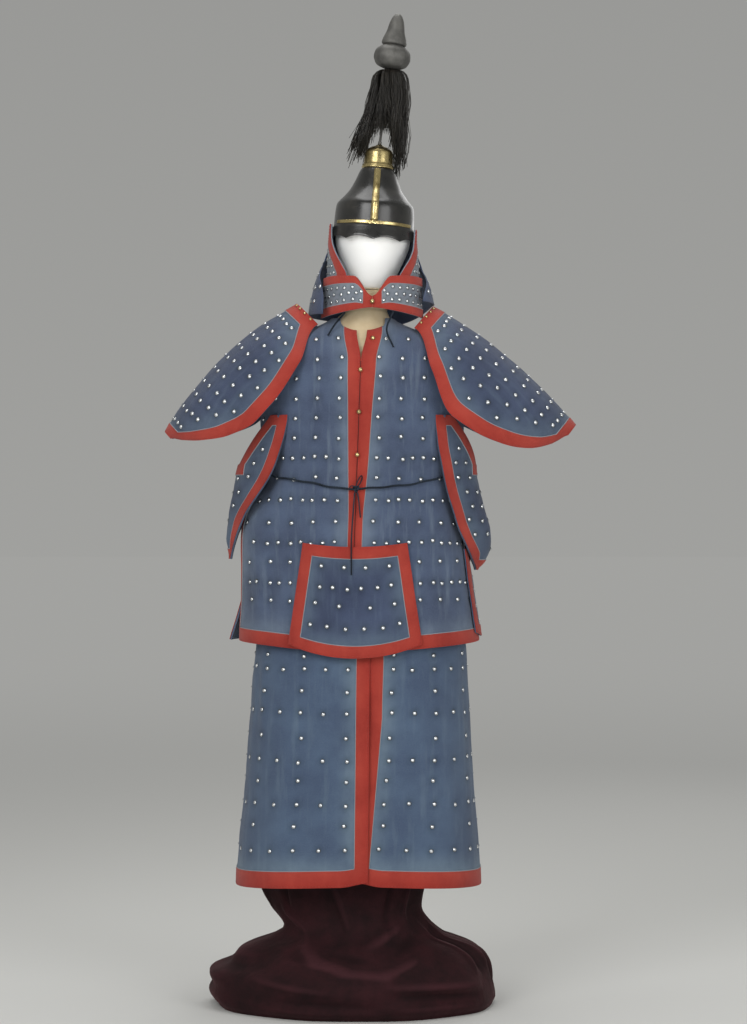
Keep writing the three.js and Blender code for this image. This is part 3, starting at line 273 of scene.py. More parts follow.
# Armpit guards: the front edge as a share of the way from front to back middle, and the stand-off at that
# edge and at the side
ARMPIT = {
    "right": table(
        "z edge out side",
        (977, 0.486, 60, 62), (1025, 0.452, 57.5, 76), (1075, 0.404, 51, 77.5), (1111, 0.366, 42.5, 74.5),
        (1159, 0.326, 29, 67), (1201, 0.301, 18.5, 51), (1250, 0.279, 9, 33), (1290, 0.272, 4, 19),
    ),
    "left": table(
        "z edge out side",
        (953, 0.486, 17, 20), (970, 0.45, 16.5, 37.5), (1005, 0.398, 17, 58.5), (1045, 0.355, 18, 61.5),
        (1089, 0.328, 20, 54.5), (1137, 0.305, 21, 47), (1180, 0.291, 17.5, 38), (1235, 0.275, 8.5, 29.5),
        (1290, 0.27, 4, 19),
    ),
}
FORM = table(
    "z width depth",
    (520.3, 120, 92), (600, 165, 112), (800, 182, 118), (1000, 188.8, 118.8), (1030, 186.2, 116.2),
    (1150, 192, 117), (1340, 206, 120),
)
FORM_NET = {"around": 96, "body": 42, "shoulder": 16, "neck": 6}
FORM_EASE = table("row ease", (0.84, 12), (0.92, 9.5), (1, 3.5))
FORM_NECK = table("z width depth x y", (1520, 47, 50, 8, 0), (1564.6, 45, 49, 16, -2))
FOOT = table(
    "z right left depth fold",
    (0, 322, 292, 232, 0.01), (16, 334, 298, 244, 0.012), (52, 342, 294, 246, 0.012),
    (80, 336, 288, 236, 0.016),
    (98, 306, 281, 218, 0.02), (118, 276, 268, 194, 0.02), (136, 252, 240, 168, 0.02),
    (154, 204, 188, 144, 0.016),
    (172, 176, 166, 130, 0.012), (215, 198, 137, 118, 0.012), (285, 226, 150, 122, 0.016),
    (400, 196, 160, 116, 0.012), (520, 150, 150, 104, 0),
)
FOOT_FOLDS = 9
FOOT_NET = {"around": 300, "pool": (0, 160, 36), "rise": (166, 520, 46), "twist": 60}
FOOT_CLOTH = {"girth": 1500, "wall": 2, "edge": 0.5, "inset": 6, "floor": (14, 40), "bow": 0.6, "mark": 24}
BROW = table("z width depth", (-16, 93, 114), (8, 90.2, 108), (20, 88.8, 105), (46, 88, 103.8))
CAPE = table(
    "z width depth x",
    (-190, 141, 152, 12), (-118, 131, 138, 8), (-60, 110, 122, 4), (0, 91.6, 107.4, 0), (24, 91.2, 107, 0),
)
EAR_FRONT = table(
    "z share out flip",
    (-96, 0.17, -20.5, 0), (-74, 0.2, -14, 3), (-48, 0.25, -6, 7), (-20, 0.295, 0, 10.5), (-6, 0.31, 0, 12),
    (18, 0.325, 0, 11),
)
# How far the nape guard's front edges come forward
NAPE_EDGE = table(
    "z share",
    (-182, 0.26), (-150, 0.27), (-124, 0.3), (-104, 0.35), (-84, 0.43), (-66, 0.53), (-60, 0.54), (20, 0.54),
)
THROAT = table("z width depth x", (1480, 114, 120, 22), (1620, 110, 118, 23))
THROAT_EDGES = table(
    "share low high", (0, 1521, 1546), (0.11, 1516, 1590), (0.25, 1508, 1592), (0.4, 1503, 1590),
)
# Turned outlines as (radius, height)
HEAD = ((0, -116), (32, -116), (45, -106), (57, -82), (70, -50), (80, -22), (82.5, 2), (81.5, 26), (77, 52),
        (67.5, 78), (57.4, 98), (40, 112), (18, 121), (0, 124))
BOWL = ((30, 152), (36, 149.5), (41, 140), (48, 122), (58, 102), (72, 84), (81, 74), (85.5, 64), (87.4, 36),
        (88, 0))
BOWL_LINING = ((85, 0), (84.2, 36), (81, 66), (69, 80.5), (45, 119.5), (33, 146.5))
CUP = ((0, 0), (36, 0), (36, 2.5), (34.5, 4), (35, 6), (32.4, 9), (31.6, 12), (31, 34), (29.4, 38), (27, 41),
       (18, 47), (8, 50), (7, 52), (0, 52))
FINIAL = ((0, 0), (14, 0), (31, 6), (39, 18), (40.5, 28), (37, 41), (27, 50), (23, 52.5), (27.5, 56),
          (26, 66), (20, 83), (15.8, 103), (10.5, 116), (5, 122), (0, 123.5))
FINIAL_WAIST, FINIAL_STEPS, SPIKE_SUNK = 7, 5, 2
BOWL_STEPS, BOWL_WALL = 3, 3
# A strand of hair from the knob to its end: how far out, risen and fallen, how far drifted, how wide its lock
HAIR_PATH = (
    (0.1, 12, 0, 0, 0.3), (0.55, 13, 0, 0, 0.6), (0.92, 2, 0, 0, 0.8), (1.04, -20, 0, 0.02, 0.9),
    (1.07, 0, 0.35, 0.16, 1), (1.1, 0, 0.68, 0.5, 1), (1.04, 0, 1, 1, 0.9),
)

# Creases as arc, height at one end, arc, height at the other, width and rise
CREASES = {
    "jacket_front_right": (
        (-40, 1120, -62, 1010, 13, -2.4), (-88, 1126, -96, 1040, 11, 2.0), (-130, 1134, -150, 1000, 14, -2.6),
        (-178, 1144, -190, 1060, 12, 2.2), (-222, 1150, -236, 1020, 13, -2.6),
        (-200, 1000, -214, 822, 12, -3.4),
        (-228, 985, -246, 830, 10, 2.6), (-262, 1010, -280, 830, 12, -3.0), (-62, 1138, -48, 1230, 12, -1.6),
        (-140, 1150, -128, 1260, 13, -1.8), (-206, 1160, -190, 1250, 12, -1.6),
        (-70, 1440, -150, 1330, 16, -1.6),
    ),
    "jacket_front_left": (
        (30, 1122, 44, 1020, 13, -2.2), (78, 1126, 92, 1030, 12, 1.8), (120, 1134, 142, 1010, 13, -2.6),
        (168, 1142, 186, 1050, 12, 2.0), (214, 1150, 232, 1000, 13, -2.8), (180, 1000, 198, 830, 14, -2.4),
        (236, 980, 252, 840, 11, 2.0), (60, 1140, 52, 1240, 13, -1.6), (134, 1150, 120, 1250, 12, -1.8),
        (200, 1160, 184, 1260, 12, -1.6), (76, 1430, 150, 1330, 16, -1.5),
    ),
    "jacket_back": (
        (420, 1148, 404, 1020, 13, -2.6), (476, 1138, 470, 1040, 12, 2.0), (536, 1132, 540, 1000, 14, -2.8),
        (600, 1130, 606, 1030, 13, 2.0), (652, 1136, 668, 1010, 13, -2.6), (716, 1146, 736, 1030, 12, -2.4),
        (470, 1160, 490, 1280, 14, -1.8), (560, 1150, 556, 1270, 14, -1.6), (640, 1160, 622, 1280, 14, -1.8),
        (440, 1000, 424, 830, 14, -2.6), (540, 980, 548, 840, 15, -2.2), (660, 1000, 680, 830, 14, -2.6),
    ),
    "skirt_right": (
        (-236, 760, -226, 610, 11, 3.2), (-252, 770, -258, 560, 14, -3.2), (-120, 470, -112, 320, 22, -2.6),
        (-168, 560, -176, 330, 24, 2.4), (-300, 700, -330, 330, 22, -3.4), (-390, 720, -410, 320, 24, 3.0),
        (-470, 690, -500, 330, 22, -3.4), (-560, 720, -590, 330, 24, 2.8), (-70, 760, -84, 640, 18, -1.6),
    ),
    "skirt_left": (
        (120, 480, 132, 320, 22, -2.6), (196, 620, 214, 330, 22, 2.6), (268, 740, 276, 560, 13, -3.0),
        (300, 700, 324, 330, 22, -3.4), (392, 720, 408, 320, 24, 3.0), (476, 690, 498, 330, 22, -3.2),
        (560, 720, 586, 330, 24, 2.8), (84, 770, 92, 650, 16, -1.6),
    ),
    "shoulder_guard_right": (
        (-60, 60, -20, 300, 26, -2.0), (70, 80, 30, 320, 26, -2.0), (-120, 150, -90, 320, 20, 1.8),
    ),
    "shoulder_guard_left": (
        (60, 60, 20, 310, 26, -2.0), (-70, 80, -30, 320, 26, -2.0), (130, 150, 100, 320, 20, 1.8),
    ),
    "armpit_guard_right": ((-30, 1060, -10, 1170, 14, -1.6), (40, 1050, 20, 1160, 14, -1.6)),
    "armpit_guard_left": ((-30, 1030, -8, 1160, 14, -1.6), (40, 1030, 18, 1160, 14, -1.6)),
    "front_flap": ((-40, 840, -34, 960, 26, 1.2), (52, 830, 46, 950, 26, -1.0)),
    "side_flap_left": ((-16, 850, -10, 960, 16, 1.2),),
    "nape_guard": ((-110, 20, -96, 150, 18, -2.2), (-30, 10, -24, 140, 18, 2.0), (60, 14, 52, 150, 18, -2.2)),
}
# Folds of the velvet as turn in degrees and height at both ends, width and rise. The folds are mirrored
# to the back, the rolls at the right side are not.
VELVET_FOLDS = (
    (207, 214, 238, 140, 11, 13), (235, 146, 264, 99, 11, 13), (260, 101, 283, 95, 11, 12),
    (279, 95, 299, 124, 10, 11), (216, 190, 246, 112, 9, -8), (250, 130, 276, 116, 9, -7),
    (271, 143, 304, 187, 11, 12), (286, 128, 312, 166, 9, -8), (221, 85, 260, 59, 10, 9),
    (228, 119, 263, 109, 9, 8), (278, 75, 332, 63, 11, 11), (284, 52, 330, 42, 10, -7),
    (238, 36, 276, 30, 10, -6), (280, 26, 326, 21, 10, 8), (222, 24, 262, 14, 11, 7),
    (326, 180, 333, 88, 10, 10), (334, 170, 340, 84, 8, -8), (342, 178, 348, 92, 10, 10),
    (352, 120, 358, 30, 12, -8), (250, 330, 262, 160, 14, 8), (300, 330, 292, 170, 14, -7),
    (318, 300, 310, 190, 13, 8), (226, 320, 214, 220, 13, -8),
)
VELVET_ROLLS = (
    (152, 74, 216, 76, 11, 8), (150, 97, 214, 95, 10, -9), (154, 121, 216, 123, 11, 10),
    (152, 144, 212, 142, 10, -8), (158, 30, 210, 26, 14, 6), (150, 52, 206, 50, 9, -5),
    (176, 172, 196, 320, 15, 8),
)


def smooth(t):
    t = np.clip(t, 0, 1)
    return t * t * (3 - 2 * t)


def lerp(a, b, t):
    return a + (b - a) * t


def read(rows, key, at, column):
    """A smooth value from a table's column, at places along its first column."""
    xs, ys = rows[key], rows.get(column)
    at = np.asarray(at, float)
    if ys is None:
        return np.zeros_like(at)
    steps = np.diff(ys) / np.diff(xs)
    product, total = steps[:-1] * steps[1:], steps[:-1] + steps[1:]
    inner = np.where(product > 0, 2 * product / np.where(total == 0, 1, total), 0)
    slopes = np.concatenate([[0], inner, [0]])
    place = np.clip(at, xs[0], xs[-1])
    i = np.searchsorted(xs[1:-1], place)
    run = xs[i + 1] - xs[i]
    t = (place - xs[i]) / run
    bend = slopes[i] * t * (1 - t) ** 2 - slopes[i + 1] * t * t * (1 - t)
    return lerp(ys[i], ys[i + 1], smooth(t)) + bend * run


ROUNDNESS = 2 / 2.3
QUARTER_TURNS = np.linspace(0, math.pi / 2, 61)


def quarter(form, z, out):
    """A quarter of the rounded oval at each level, as points and lengths along it."""
    width = read(form, "z", z, "width") + out
    depth = read(form, "z", z, "depth") + out
    xs = width[..., None] * np.sin(QUARTER_TURNS) ** ROUNDNESS
    ys = -depth[..., None] * np.cos(QUARTER_TURNS).clip(0) ** ROUNDNESS
    steps = np.hypot(np.diff(xs), np.diff(ys))
    lengths = np.concatenate([np.zeros_like(xs[..., :1]), np.cumsum(steps, -1)], -1)
    return xs, ys, lengths


def half_girth(form, z):
    return 2 * quarter(form, np.asarray(z, float), 0)[2][..., -1]


def around(form, z, share, out=0.0):
    """Points on a form: share 0 at the front middle, 1 at the back middle, negative to the wearer's right."""
    z, share, out = np.broadcast_arrays(*(np.asarray(v, float) for v in (z, share, out)))
    part = np.where(share > 1, share - 2, np.where(share < -1, share + 2, share))
    xs, ys, lengths = quarter(form, z, out)
    fold = np.where(np.abs(part) <= 0.5, np.abs(part), 1 - np.abs(part))
    wanted = fold * 2 * lengths[..., -1]
    k = (lengths[..., 1:-1] < wanted[..., None]).sum(-1)
    pick = lambda values, n: np.take_along_axis(values, n[..., None], -1)[..., 0]
    low, high = pick(lengths, k), pick(lengths, k + 1)
    t = (wanted - low) / (high - low)
    x = lerp(pick(xs, k), pick(xs, k + 1), t) * np.where(part < 0, -1, 1)
    y = lerp(pick(ys, k), pick(ys, k + 1), t) * np.where(np.abs(part) > 0.5, -1, 1)
    return np.stack([read(form, "z", z, "x") + x, read(form, "z", z, "y") + y, z], -1)


def turn_about_y(points, angle, origin):
    """Points of a tilted part in the frame that it stands in."""
    x, y, z = np.moveaxis(np.asarray(points, float), -1, 0)
    c, s = math.cos(angle), math.sin(angle)
    return np.stack([x * c + z * s, y, z * c - x * s], -1) + np.array(origin, float)


def in_helmet(points):
    return turn_about_y(points, HELMET["tilt"], (HELMET["x"], 0, HELMET["z"]))


def in_plume(points):
    return in_helmet(turn_about_y(points, PLUME["tilt"], (0, 0, PLUME["z"])))


def unit(vectors):
    return vectors / np.linalg.norm(vectors, axis=-1, keepdims=True)


def curve_through(points, count):
    """A smooth line of that many points through a few."""
    points = np.asarray(points, float)
    ends = np.vstack([2 * points[0] - points[1], points, 2 * points[-1] - points[-2]])
    at = np.linspace(0, len(points) - 1, count)
    k = np.minimum(at.astype(int), len(points) - 2)
    t = (at - k)[:, None]
    a, b, c, d = (ends[k + n] for n in range(4))
    return 0.5 * (2 * b + (c - a) * t + (2 * a - 5 * b + 4 * c - d) * t**2 + (3 * b - a - 3 * c + d) * t**3)


def way_out(place, u, v, du, dv):
    """The ways out of a surface, from its points a little to each side."""
    across = place(u + du, v) - place(u - du, v)
    up = place(u, v + dv) - place(u, v - dv)
    return unit(np.cross(across, up))


def crease(aside, up, run, width, rise, bow):
    """How far a straight soft crease lifts the cloth, at places counted from its first end."""
    t = ((aside * run[0] + up * run[1]) / (run[0] ** 2 + run[1] ** 2)).clip(0, 1)
    away = np.hypot(aside - t * run[0], up - t * run[1])
    return rise * np.exp(-((away / width) ** 2)) * lerp(CREASE_ENDS, 1, np.sin(math.pi * t) ** bow)


# Materials
def linear(*srgb):
    return tuple(((v / 255 + 0.055) / 1.055) ** 2.4 if v > 10 else v / 255 / 12.92 for v in srgb) + (1.0,)


class Shader:
    """A node material with a short way to add nodes: a socket as a value is linked, anything else is set."""

    def __init__(self, name, **constants):
        self.material = bpy.data.materials.new(name)
        self.material.use_nodes = True
        self.tree = self.material.node_tree
        self.surface = self.tree.nodes["Principled BSDF"]
        self.feed(self.surface, constants)

    def feed(self, node, values):
        for key, value in values.items():
            socket = node.inputs[key if isinstance(key, int) else key.replace("_", " ")]
            if isinstance(value, bpy.types.NodeSocket):
                self.tree.links.new(value, socket)
            else:
                socket.default_value = value

    def add(self, kind, values=None, **settings):
        node = self.tree.nodes.new(kind)
        for key, value in settings.items():
            setattr(node, key, value)
        self.feed(node, values or {})
        return node.outputs[0]

    def coordinates(self, kind):
        node = self.tree.nodes.new("ShaderNodeTexCoord")
        return node.outputs[kind]

    def attribute(self, name):
        node = self.tree.nodes.new("ShaderNodeAttribute")
        node.attribute_name = name
        return node.outputs["Fac"]

    def stretched(self, vector, scale):
        return self.add("ShaderNodeMapping", {"Vector": vector, "Scale": scale})

    def noise(self, vector, scale, detail=3.0, roughness=0.55):
        return self.add(
            "ShaderNodeTexNoise",
            {"Vector": vector, "Scale": scale, "Detail": detail, "Roughness": roughness},
        )

    def wave(self, vector, scale, direction):
        return self.add(
            "ShaderNodeTexWave", {"Vector": vector, "Scale": scale, "Distortion": 0.6, "Detail": 1.0},
            bands_direction=direction,
        )

    def span(self, value, low, high, to_low=0.0, to_high=1.0):
        return self.add("ShaderNodeMapRange", {0: value, 1: low, 2: high, 3: to_low, 4: to_high})

    def math(self, operation, a, b):
        return self.add("ShaderNodeMath", {0: a, 1: b}, operation=operation)

    def mix(self, factor, a, b, blend="MIX"):
        node = self.tree.nodes.new("ShaderNodeMix")
        node.data_type = "RGBA"
        node.blend_type = blend
        self.feed(node, {0: factor, 6: a, 7: b})
        return node.outputs[2]

    def bump(self, height, distance, strength=1.0, over=None):
        values = {"Height": height, "Distance": distance, "Strength": strength}
        if over is not None:
            values["Normal"] = over
        return self.add("ShaderNodeBump", values)

    def finish(self, **links):
        self.feed(self.surface, links)
        return self.material


THREAD_SCALE = 250


def cotton(name, deep, plain, faded, wear=1.0):
    """Faded plain-weave cotton: mottled dye, slubs, pale edges, stains round the studs."""
    s = Shader(name, Roughness=0.9, Specular_IOR_Level=0.25, Sheen_Weight=0.12, Sheen_Roughness=0.6)
    place = s.coordinates("UV")
    blotches = s.noise(place, 9, 5, 0.6)
    streaks = s.noise(s.stretched(place, (60, 7, 1)), 1, 4, 0.6)
    grain = s.noise(place, 420, 3, 0.7)
    slubs = s.noise(s.stretched(place, (90, 900, 1)), 1, 2, 0.6)
    colour = s.mix(s.span(blotches, 0.38, 0.66), deep, plain)
    colour = s.mix(s.span(streaks, 0.52, 0.78, 0, 0.55 * wear), colour, faded)
    pale = s.math("MULTIPLY", s.attribute("fade"), s.span(blotches, 0.3, 0.7, 0.25, 0.85))
    colour = s.mix(pale, colour, faded)
    colour = s.mix(s.span(grain, 0.35, 0.75, 0, 0.22), colour, faded)
    colour = s.mix(s.span(slubs, 0.5, 0.8, 0, 0.18), colour, deep)
    dark = s.mix(1.0, colour, (0.45, 0.5, 0.48, 1), "MULTIPLY")
    colour = s.mix(s.math("MULTIPLY", s.attribute("stain"), 0.75), colour, dark)
    weave = s.math("ADD", s.wave(place, THREAD_SCALE, "X"), s.wave(place, THREAD_SCALE, "Y"))
    relief = s.bump(weave, 0.00025, 0.6)
    relief = s.bump(s.noise(place, 45, 4, 0.6), 0.0016, 0.5, relief)
    return s.finish(Base_Color=colour, Normal=relief)


def velvet(name):
    s = Shader(
        name, Roughness=0.85, Specular_IOR_Level=0.15, Sheen_Weight=0.3, Sheen_Roughness=0.4,
        Sheen_Tint=(0.3, 0.13, 0.14, 1),
    )
    place = s.coordinates("Object")
    nap = s.noise(place, 13, 5, 0.65)
    pile = s.noise(place, 900, 2, 0.6)
    fold = s.attribute("fold")
    colour = s.mix(s.span(nap, 0.35, 0.7), linear(29, 15, 17), linear(52, 24, 28))
    colour = s.mix(s.span(pile, 0.4, 0.7, 0, 0.35), colour, linear(24, 12, 13))
    # Painted highlight along the fold ridges and painted shade in the fold hollows, both read from the fold
    # height.
    colour = s.mix(s.span(fold, 0.68, 1.0, 0, 0.6), colour, linear(70, 38, 43))
    colour = s.mix(s.span(fold, 0.44, 0.05, 0, 0.85), colour, linear(13, 7, 8))
    relief = s.bump(s.noise(place, 60, 4, 0.6), 0.003, 0.5)
    return s.finish(Base_Color=colour, Normal=s.bump(pile, 0.0008, 0.5, relief))


def metal(name, bright, dull, roughness, spots=(0.45, 0.7), scale=38, metallic=1.0):
    s = Shader(name, Metallic=metallic)
    place = s.coordinates("Object")
    tarnish = s.noise(place, scale, 6, 0.65)
    scuffs = s.noise(s.stretched(place, (240, 240, 30)), 1, 3, 0.6)
    colour = s.mix(s.span(tarnish, *spots), bright, dull)
    dulled = s.span(tarnish, *spots, roughness, roughness + 0.22)
    gloss = s.math("ADD", dulled, s.span(scuffs, 0.4, 0.8, -0.05, 0.08))
    relief = s.bump(s.noise(place, 160, 4, 0.6), 0.0004, 0.35)
    return s.finish(Base_Color=colour, Roughness=gloss, Normal=relief)


def lacquer(name):
    s = Shader(name, Coat_Weight=0.35, Coat_Roughness=0.18, Specular_IOR_Level=0.5)
    place = s.coordinates("Object")
    worn = s.noise(place, 30, 6, 0.65)
    scratches = s.noise(s.stretched(place, (30, 30, 260)), 1, 4, 0.65)
    colour = s.mix(s.span(worn, 0.45, 0.75), linear(21, 21, 20), linear(42, 40, 36))
    colour = s.mix(s.span(scratches, 0.62, 0.8, 0, 0.4), colour, linear(92, 88, 80))
    relief = s.bump(s.noise(place, 55, 4, 0.6), 0.0012, 0.35)
    return s.finish(Base_Color=colour, Roughness=s.span(worn, 0.35, 0.75, 0.26, 0.46), Normal=relief)


def hair_finish(name):
    s = Shader(name, Roughness=0.42, Specular_IOR_Level=0.45)
    place = s.coordinates("Object")
    tint = s.noise(s.stretched(place, (300, 300, 12)), 1, 3, 0.6)
    return s.finish(Base_Color=s.mix(s.span(tint, 0.35, 0.7), linear(20, 19, 17), linear(58, 54, 48)))


def plain_weave(name, low, high, scale=210, roughness=0.85):
    """Undyed weave for pieces without their own map: calico, cord, head cover."""
    s = Shader(name, Roughness=roughness, Specular_IOR_Level=0.25)
    place = s.coordinates("Object")
    blotches = s.noise(place, 14, 4, 0.6)
    threads = s.math("ADD", s.wave(place, scale, "X"), s.wave(place, scale, "Z"))
    colour = s.mix(s.span(blotches, 0.35, 0.7), low, high)
    return s.finish(Base_Color=colour, Normal=s.bump(threads, 0.0003, 0.5))


def floor_finish(name):
    """Pale floor that melts into the backdrop with distance."""
    s = Shader(name, Base_Color=(*FLOOR_COLOUR, 1), Roughness=0.95, Specular_IOR_Level=0.1)
    length = s.add("ShaderNodeVectorMath", {0: s.coordinates("Object")}, operation="LENGTH")
    reach = length.node.outputs["Value"]
    far = s.span(s.math("LOGARITHM", reach, 10.0), *(math.log10(v) for v in FLOOR_FADE))
    far.node.interpolation_type = "SMOOTHSTEP"
    glow = s.add("ShaderNodeEmission", {"Color": (*BACKDROP_LOW, 1)})
    blend = s.add("ShaderNodeMixShader", {0: far, 1: s.surface.outputs[0], 2: glow})
    s.tree.links.new(blend, s.tree.nodes["Material Output"].inputs["Surface"])
    return s.material


JACKET_BLUE = cotton("jacket_blue", linear(60, 71, 96), linear(76, 90, 116), linear(112, 126, 142))
SKIRT_BLUE = cotton("skirt_blue", linear(62, 77, 103), linear(75, 93, 118), linear(110, 128, 142), 0.6)
GUARD_BLUE = cotton("guard_blue", linear(51, 60, 86), linear(64, 75, 102), linear(90, 106, 123), 0.8)
PALE_BLUE = cotton("pale_blue", linear(96, 104, 118), linear(114, 122, 134), linear(140, 146, 152))
RED = cotton("red_cotton", linear(134, 30, 22), linear(159, 42, 31), linear(172, 68, 55), 0.7)
PIPING = cotton("pale_piping", linear(120, 126, 134), linear(138, 144, 150), linear(164, 166, 166))
RED_THREAD = cotton("red_thread", linear(120, 34, 30), linear(140, 44, 38), linear(160, 70, 60))
# Dark cotton for the cord that paints the shadow line in the gap between the fronts.
GAP_SHADE_COTTON = cotton("painted_gap_shade", linear(58, 20, 18), linear(74, 26, 23), linear(96, 40, 34))
VELVET = velvet("maroon_velvet")
CALICO = plain_weave("calico", linear(196, 174, 138), linear(214, 196, 164))
WHITE = plain_weave("white_head", linear(248, 248, 245), linear(253, 253, 251), 160, 0.7)
STRING = plain_weave("dark_cord", linear(24, 30, 38), linear(44, 54, 66), 420)
BLACK_HAIR = hair_finish("horsehair")
BLACK_LACQUER = lacquer("black_lacquer")
BRASS = metal("brass", linear(208, 190, 136), linear(120, 103, 64), 0.27)
TIN = metal("tinned_stud", linear(228, 230, 232), linear(150, 155, 160), 0.22, (0.45, 0.75), 300)
VERDIGRIS = metal("stud_rim", linear(58, 66, 70), linear(40, 50, 50), 0.55, (0.4, 0.7), 300, 0.3)
PEWTER = metal("dull_pewter", linear(112, 111, 107), linear(78, 77, 75), 0.5, (0.35, 0.7), 26, 0.55)


# Meshes
class Soup:
    """Points and faces of many small bodies, gathered into one mesh."""

    def __init__(self):
        self.points, self.faces, self.materials, self.count = [], [], [], 0

    def add(self, points, faces, material=0):
        points = np.asarray(points, float).reshape(-1, 3)
        self.points.append(points)
        self.faces.extend(tuple(int(k) + self.count for k in face) for face in faces)
        self.materials.extend([material] * len(faces))
        self.count += len(points)

    def build(self, name, *materials, replaces=()):
        return make(name, np.vstack(self.points), self.faces, materials, self.materials, replaces)


def make(name, points, faces, materials, which=None, replaces=(), maps=None, marks=None):
    """One smooth-shaded object in metres from points in millimetres, riding on the body."""
    mesh = bpy.data.meshes.new(name)
    mesh.from_pydata((np.asarray(points) * MM).tolist(), [], [tuple(int(k) for k in face) for face in faces])
    mesh.polygons.foreach_set("use_smooth", np.ones(len(mesh.polygons), bool))
    for material in materials:
        mesh.materials.append(material)
    if which is not None:
        mesh.polygons.foreach_set("material_index", np.array(which, np.int32))
    if maps is not None:
        corners = np.zeros(len(mesh.loops), np.int32)
        mesh.loops.foreach_get("vertex_index", corners)
        layer = mesh.uv_layers.new(name="cut")
        layer.data.foreach_set("uv", (np.asarray(maps) * MM)[corners].astype(np.float32).ravel())
    for key, values in (marks or {}).items():
        mesh.attributes.new(key, "FLOAT", "POINT").data.foreach_set("value", np.asarray(values, np.float32))
    mesh.update()
    piece = bpy.data.objects.new(name, mesh)
    bpy.context.scene.collection.objects.link(piece)
    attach(piece, "root")
    if replaces:
        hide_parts(*replaces)
    return piece


def net_faces(rows, columns, closed=False):
    """Faces of a net of points, row by row. A closed net joins the ends of each row."""
    pairs = [(k, (k + 1) % columns) for k in range(columns if closed else columns - 1)]
    starts = range(0, (rows - 1) * columns, columns)
    return [(i + k, i + n, i + columns + n, i + columns + k) for i in starts for k, n in pairs]


def tube_faces(rows, columns):
    """Faces of a closed net with both ends capped."""
    ends = [tuple(range(columns))[::-1], tuple(range((rows - 1) * columns, rows * columns))]
    return net_faces(rows, columns, True) + ends


def sweep(path, ways, section, closed=False):
    """A body along a path: the section's points are (aside, out) from it."""
    path, section = np.asarray(path, float), np.asarray(section, float)
    along = np.roll(path, -1, 0) - np.roll(path, 1, 0)
    if not closed:
        along[0], along[-1] = path[1] - path[0], path[-1] - path[-2]
    along = unit(along)
    side = unit(np.cross(along, ways))
    out = np.cross(side, along)
    rings = path[:, None] + section[None, :, :1] * side[:, None] + section[None, :, 1:] * out[:, None]
    count, n = rings.shape[:2]
    if not closed:
        return rings.reshape(-1, 3), tube_faces(count, n)
    last = (count - 1) * n
    joint = [(last + k, last + (k + 1) % n, (k + 1) % n, k) for k in range(n)]
    return rings.reshape(-1, 3), net_faces(count, n, True) + joint


def circle(radius, sides):
    turns = np.linspace(0, 2 * math.pi, sides, endpoint=False)
    return np.stack([np.cos(turns), np.sin(turns)], -1) * radius


def lathe(outline, segments, depth_ratio=1.0, lobes=0, lobe_depth=0.0):
    """A body turned about z from (radius, height) pairs, as points and faces."""
    turns = np.linspace(0, 2 * math.pi, segments, endpoint=False)
    wave = 1 - lobe_depth * np.abs(np.sin(turns * lobes / 2)) ** LOBE_BOW
    points, faces, rings = [], [], []
    for radius, height in outline:
        if radius == 0:
            rings.append([len(points)] * segments)
            points.append((0, 0, height))
            continue
        rings.append(range(len(points), len(points) + segments))
        x, y = radius * wave * np.cos(turns), radius * wave * depth_ratio * np.sin(turns)
        points.extend(zip(x, y, [height] * segments))
    for low, high in zip(rings, rings[1:]):
        for k in range(segments):
            n = (k + 1) % segments
            faces.append(tuple(dict.fromkeys((low[k], low[n], high[n], high[k]))))
    return np.array(points, float), [face for face in faces if len(face) > 2]


def rounded(outline, steps=4):
    """An outline with smooth stretches between its points."""
    return curve_through(outline, steps * (len(outline) - 1) + 1).clip(min=(0, -1e9))


def outward(piece):
    """Faces turned to point out of a closed mesh."""
    work = bmesh.new()
    work.from_mesh(piece.data)
    bmesh.ops.recalc_face_normals(work, faces=work.faces)
    work.to_mesh(piece.data)
    work.free()


def turned(name, node, material, place, outline, *shape):
    """A body turned from an outline and put in its place, which stands for a node."""
    points, faces = lathe(outline, *shape)
    outward(make(name, place(points), faces, [material], replaces=[node]))


def thicken(piece, thickness, offset, edge):
    """Cloth thickness with softly rounded edges."""
    solid = piece.modifiers.new("thickness", "SOLIDIFY")
    solid.thickness = thickness * MM
    solid.offset = offset
    bevel = piece.modifiers.new("edge", "BEVEL")
    bevel.width = edge * MM
    bevel.segments = 2
    bevel.limit_method = "ANGLE"
    bevel.angle_limit = math.radians(55)
    return piece


# Cloth panels
def refine(counts):
    """Places along a row of wide cells, each cut into a number of small ones, and the wide cell of each."""
    places = np.concatenate([k + np.arange(n) / n for k, n in enumerate(counts)] + [[len(counts)]])
    owners = np.repeat(np.arange(len(counts)), counts)
    return places, owners


def between(lines, places):
    """Rows of values at places among lines: the lines are columns of values, one for each row."""
    rows = max(len(np.atleast_1d(line)) for line in lines)
    stack = np.stack([np.broadcast_to(np.asarray(line, float), (rows, len(places))) for line in lines], -1)
    k = np.minimum(places.astype(int), len(lines) - 2)
    columns = np.arange(len(places))
    return lerp(stack[:, columns, k], stack[:, columns, k + 1], places - k)


def cells_for(length):
    return max(int(round(length / CELL)), 2)


def unevenness(a, b, seed):
    """Slow swells of the cloth, under a millimetre."""
    waves = np.random.default_rng(seed)
    total = np.zeros_like(a)
    for _ in range(SWELL["count"]):
        turn, long = waves.uniform(0, math.pi), waves.uniform(*SWELL["long"])
        phase, rise = waves.uniform(0, 2 * math.pi), waves.uniform(*SWELL["rise"])
        total += rise * np.sin((a * math.cos(turn) + b * math.sin(turn)) * 2 * math.pi / long + phase)
    return total


def flat_tree(points):
    """Flat points, ready to be searched for the nearest one."""
    tree = kdtree.KDTree(len(points))
    for k, (a, b) in enumerate(points):
        tree.insert((a, b, 0), k)
    tree.balance()
    return tree


def scattered(points, by):
    """Points set by hand: each a little off its place."""
    return np.asarray(points, float) + draw.normal(0, by, (len(points), 2))


